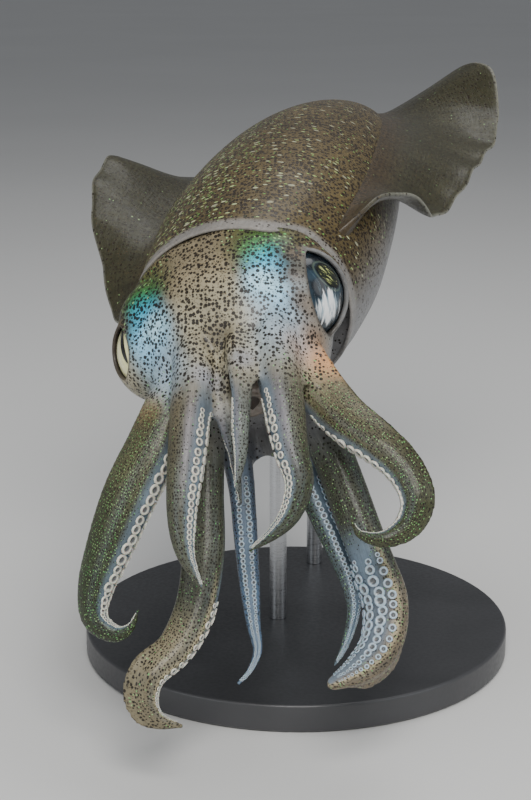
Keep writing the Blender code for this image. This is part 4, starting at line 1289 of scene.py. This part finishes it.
def eye_finish(side):
    """A dark slanted pupil with green-gold streaks and a silver patch in a deep blue-black eye."""
    eye = Finish(f"eye_{'left' if side > 0 else 'right'}", IOR=1.4, Coat_Weight=0.5, Coat_Roughness=0.10)
    step, mix, times = eye.step, eye.mix, eye.times
    centre, across, upright, look = EYES[side]
    away = eye.vector("SUBTRACT", eye.place, centre)

    def reach(direction):
        return eye.vector("DOT_PRODUCT", away, direction)

    def brushed(x, y, detail, distortion):
        """Noise drawn out along lines."""
        lines = eye.put("ShaderNodeCombineXYZ", {0: x, 1: y}).outputs[0]
        return eye.noise(lines, 1.0, detail, Distortion=distortion)

    pupil = aimed(side, *PUPIL_LOOKS[side]).normalized()
    slant = aimed(side, *PUPIL_SLANTS[side])
    slant = (slant - slant.project(pupil)).normalized()
    down, over = reach(slant), reach(pupil.cross(slant))
    x = eye.calc("DIVIDE", down, PUPIL_HALVES[side][0])
    y = eye.calc("DIVIDE", over, PUPIL_HALVES[side][1])
    oval = eye.calc("SQRT", eye.plus(times(x, x), times(y, y)))
    streaks = brushed(times(down, 420.0), times(over, 1500.0), 3.0, 1.0)
    brush = brushed(times(reach(across), 900.0), times(reach(upright), 170.0), 4.0, 0.6)
    soft = eye.noise(away, 260.0, 3.0)
    near = eye.vector("SUBTRACT", away, aimed(side, *SILVER_LOOKS[side]).normalized() * EYE_RADIUS)
    patch = eye.plus(eye.vector("LENGTH", near), times(eye.calc("SUBTRACT", brush, 0.5), 0.010))
    silver = mix(step(brush, 0.42, 0.62), *SILVER_TINTS[side])
    deep = mix(step(soft, 0.42, 0.66), (0.004, 0.007, 0.011), (0.018, 0.040, 0.060))
    deep = mix(times(step(brush, 0.60, 0.70), 0.5), deep, (0.10, 0.16, 0.20))
    iris = mix(step(patch, SILVER_REACH[side], SILVER_REACH[side] * 0.62), deep, silver)
    colour = mix(step(oval, 1.15, 0.98), iris, (0.004, 0.005, 0.004))
    if side > 0:
        gold = mix(step(streaks, 0.50, 0.60), (0.010, 0.014, 0.008), (0.40, 0.44, 0.16))
        colour = mix(step(oval, 0.95, 0.72), colour, gold)
    ring = times(step(oval, 1.10, 1.18), step(oval, 1.34, 1.22))
    colour = mix(times(ring, 0.35), colour, (0.16, 0.22, 0.16))
    colour = mix(step(reach(look), 0.0040, 0.0020), colour, (0.05, 0.06, 0.06))
    return eye.surface(colour, step(soft, 0.3, 0.7, 0.16, 0.34))


def mouth_finish():
    lip = Finish("mouth_lip", IOR=1.38, Coat_Weight=0.4, Coat_Roughness=0.15, Subsurface_Weight=0.1,
                 Subsurface_Scale=0.002)
    away = lip.vector("SUBTRACT", lip.place, HEAD.point(CROWN_FRONT + 0.004, 0, -MOUTH_DROP))
    grain = lip.noise(lip.place, 700.0, 4.0)
    # Painted shade: the pale lip is painted dark, as it lies in shadow between the arms; the darkest middle
    # is the beak's own colour
    skin = lip.mix(lip.step(grain, 0.3, 0.7), (0.30, 0.26, 0.22), (0.20, 0.16, 0.13))
    colour = lip.mix(lip.step(lip.vector("LENGTH", away), 0.0030, 0.0024), skin, (0.035, 0.018, 0.010))
    return lip.surface(colour, lip.step(grain, 0.2, 0.8, 0.25, 0.45), (grain, 0.4, 0.0004))


def base_finish():
    """Charcoal satin lacquer with a faint grain and soft wear at the rim."""
    satin = Finish("charcoal_satin", Coat_Weight=0.15, Coat_Roughness=0.3)
    grain = satin.noise(satin.place, 900.0, 4.0)
    cloud = satin.noise(satin.place, 40.0, 3.0)
    out = satin.vector("LENGTH", satin.vector("MULTIPLY", satin.place, (1, 1, 0)))
    wear = satin.times(satin.step(out, BASE_RADIUS - 0.0010, BASE_RADIUS - 0.0002), 0.5)
    colour = satin.mix(satin.step(cloud, 0.3, 0.7), (0.022, 0.023, 0.025), (0.034, 0.035, 0.038))
    colour = satin.mix(wear, colour, (0.07, 0.07, 0.075))
    return satin.surface(colour, satin.step(grain, 0.2, 0.8, 0.34, 0.50), (grain, 0.12, 0.0002))


def steel_finish():
    """Steel brushed around the rod."""
    steel = Finish("brushed_steel", Metallic=1.0)
    brush = steel.noise(steel.mapped(steel.place, (300.0, 300.0, 9000.0)), 1.0, 3.0)
    colour = steel.mix(steel.step(brush, 0.3, 0.7), (0.48, 0.49, 0.51), (0.56, 0.57, 0.59))
    return steel.surface(colour, steel.step(brush, 0.2, 0.8, 0.24, 0.42), (brush, 0.1, 0.0001))


def floor_finish():
    pale = Finish("pale_floor", Roughness=0.75)
    return pale.surface(pale.mix(pale.noise(pale.place, 3.0, 3.0), (0.66, 0.66, 0.65), (0.72, 0.72, 0.71)))


# Pieces, room and camera

def dress(obj, material, record_slot, *nodes):
    """Gives a finished piece its material, its body and the nodes it stands for."""
    obj.data.materials.clear()
    obj.data.materials.append(material)
    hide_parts(*nodes)
    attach(obj, "root")


def build():
    limbs = {name: Limb(name, **sizes) for name, sizes in LIMBS.items()}
    group = skin_group(spots_group("pigment_spots", "2D"), spots_group("pigment_balls", "3D"))
    back_skin = wet_skin("mantle_skin", group, 0.0013, 0.50, (0.016, 0.009, 0.004), (0.12, 0.42, 0.06),
                         flow=(0.85, 1.10, 1.0), dashes=0.85)
    fin_skin = wet_skin("fin_skin", group, 0.0014, 0.38, (0.018, 0.012, 0.006), (0.10, 0.22, 0.08))
    arm_skin = wet_skin("head_and_arm_skin", group, 0.00128, 0.43, (0.010, 0.006, 0.003), (0.10, 0.50, 0.12))
    dress(make_mantle_skin(), back_skin, "skin", "mantle")
    for side, node in ((1, "fin_left"), (-1, "fin_right")):
        dress(make_fin_skin(side, node + "_skin"), fin_skin, "fin", node)
    skin = make_flesh_skin(limbs)
    cover_flesh(skin.data, limbs)
    flesh_nodes = ["head", "funnel"] + [f"{name}_{part}" for name in LIMBS for part in ("root", "tip")]
    dress(skin, arm_skin, "arm_skin", *flesh_nodes)
    suckers = make_suckers(limbs, skin, sucker_finish())
    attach(suckers, "root")
    for side, node in ((1, "eye_left"), (-1, "eye_right")):
        dress(make_eye(side, node + "_ball"), eye_finish(side), "eye", node)
    dress(make_mouth(), mouth_finish(), "mouth", "mouth")
    dress(make_base(), base_finish(), "stand_base", "stand_base")
    steel = steel_finish()
    for node in ("stand_rod_front", "stand_rod_back"):
        dress(make_rod(node, node.replace("stand_", "display_")), steel, "stand_rod", node)


def make_room():
    bm = bmesh.new()
    bmesh.ops.create_grid(bm, x_segments=1, y_segments=1, size=FLOOR_SIZE)
    floor = finish(bm, "floor")
    floor.data.materials.append(floor_finish())
    world = bpy.data.worlds.new("studio")
    bpy.context.scene.world = world
    world.use_nodes = True
    sky = world.node_tree.nodes["Background"].inputs
    sky["Color"].default_value = ROOM_TINT
    sky["Strength"].default_value = ROOM_LIGHT
    for name, (place, aim, size, power, colour) in LAMPS.items():
        data = bpy.data.lights.new(name, "AREA")
        data.shape = "DISK"
        data.size = size
        data.energy = power
        data.color = colour
        lamp = add(name, data)
        lamp.location = place
        lamp.rotation_euler = (Vector(aim) - Vector(place)).to_track_quat("-Z", "Y").to_euler()


def make_camera():
    data = bpy.data.cameras.new("camera")
    data.sensor_width = 36
    data.lens = CAMERA_LENS
    data.clip_start = 0.01
    camera = add("camera", data)
    camera.location = CAMERA_PLACE
    camera.rotation_euler = (math.radians(90 - CAMERA_TILT), 0, 0)
    bpy.context.scene.camera = camera


build()
make_room()
make_camera()
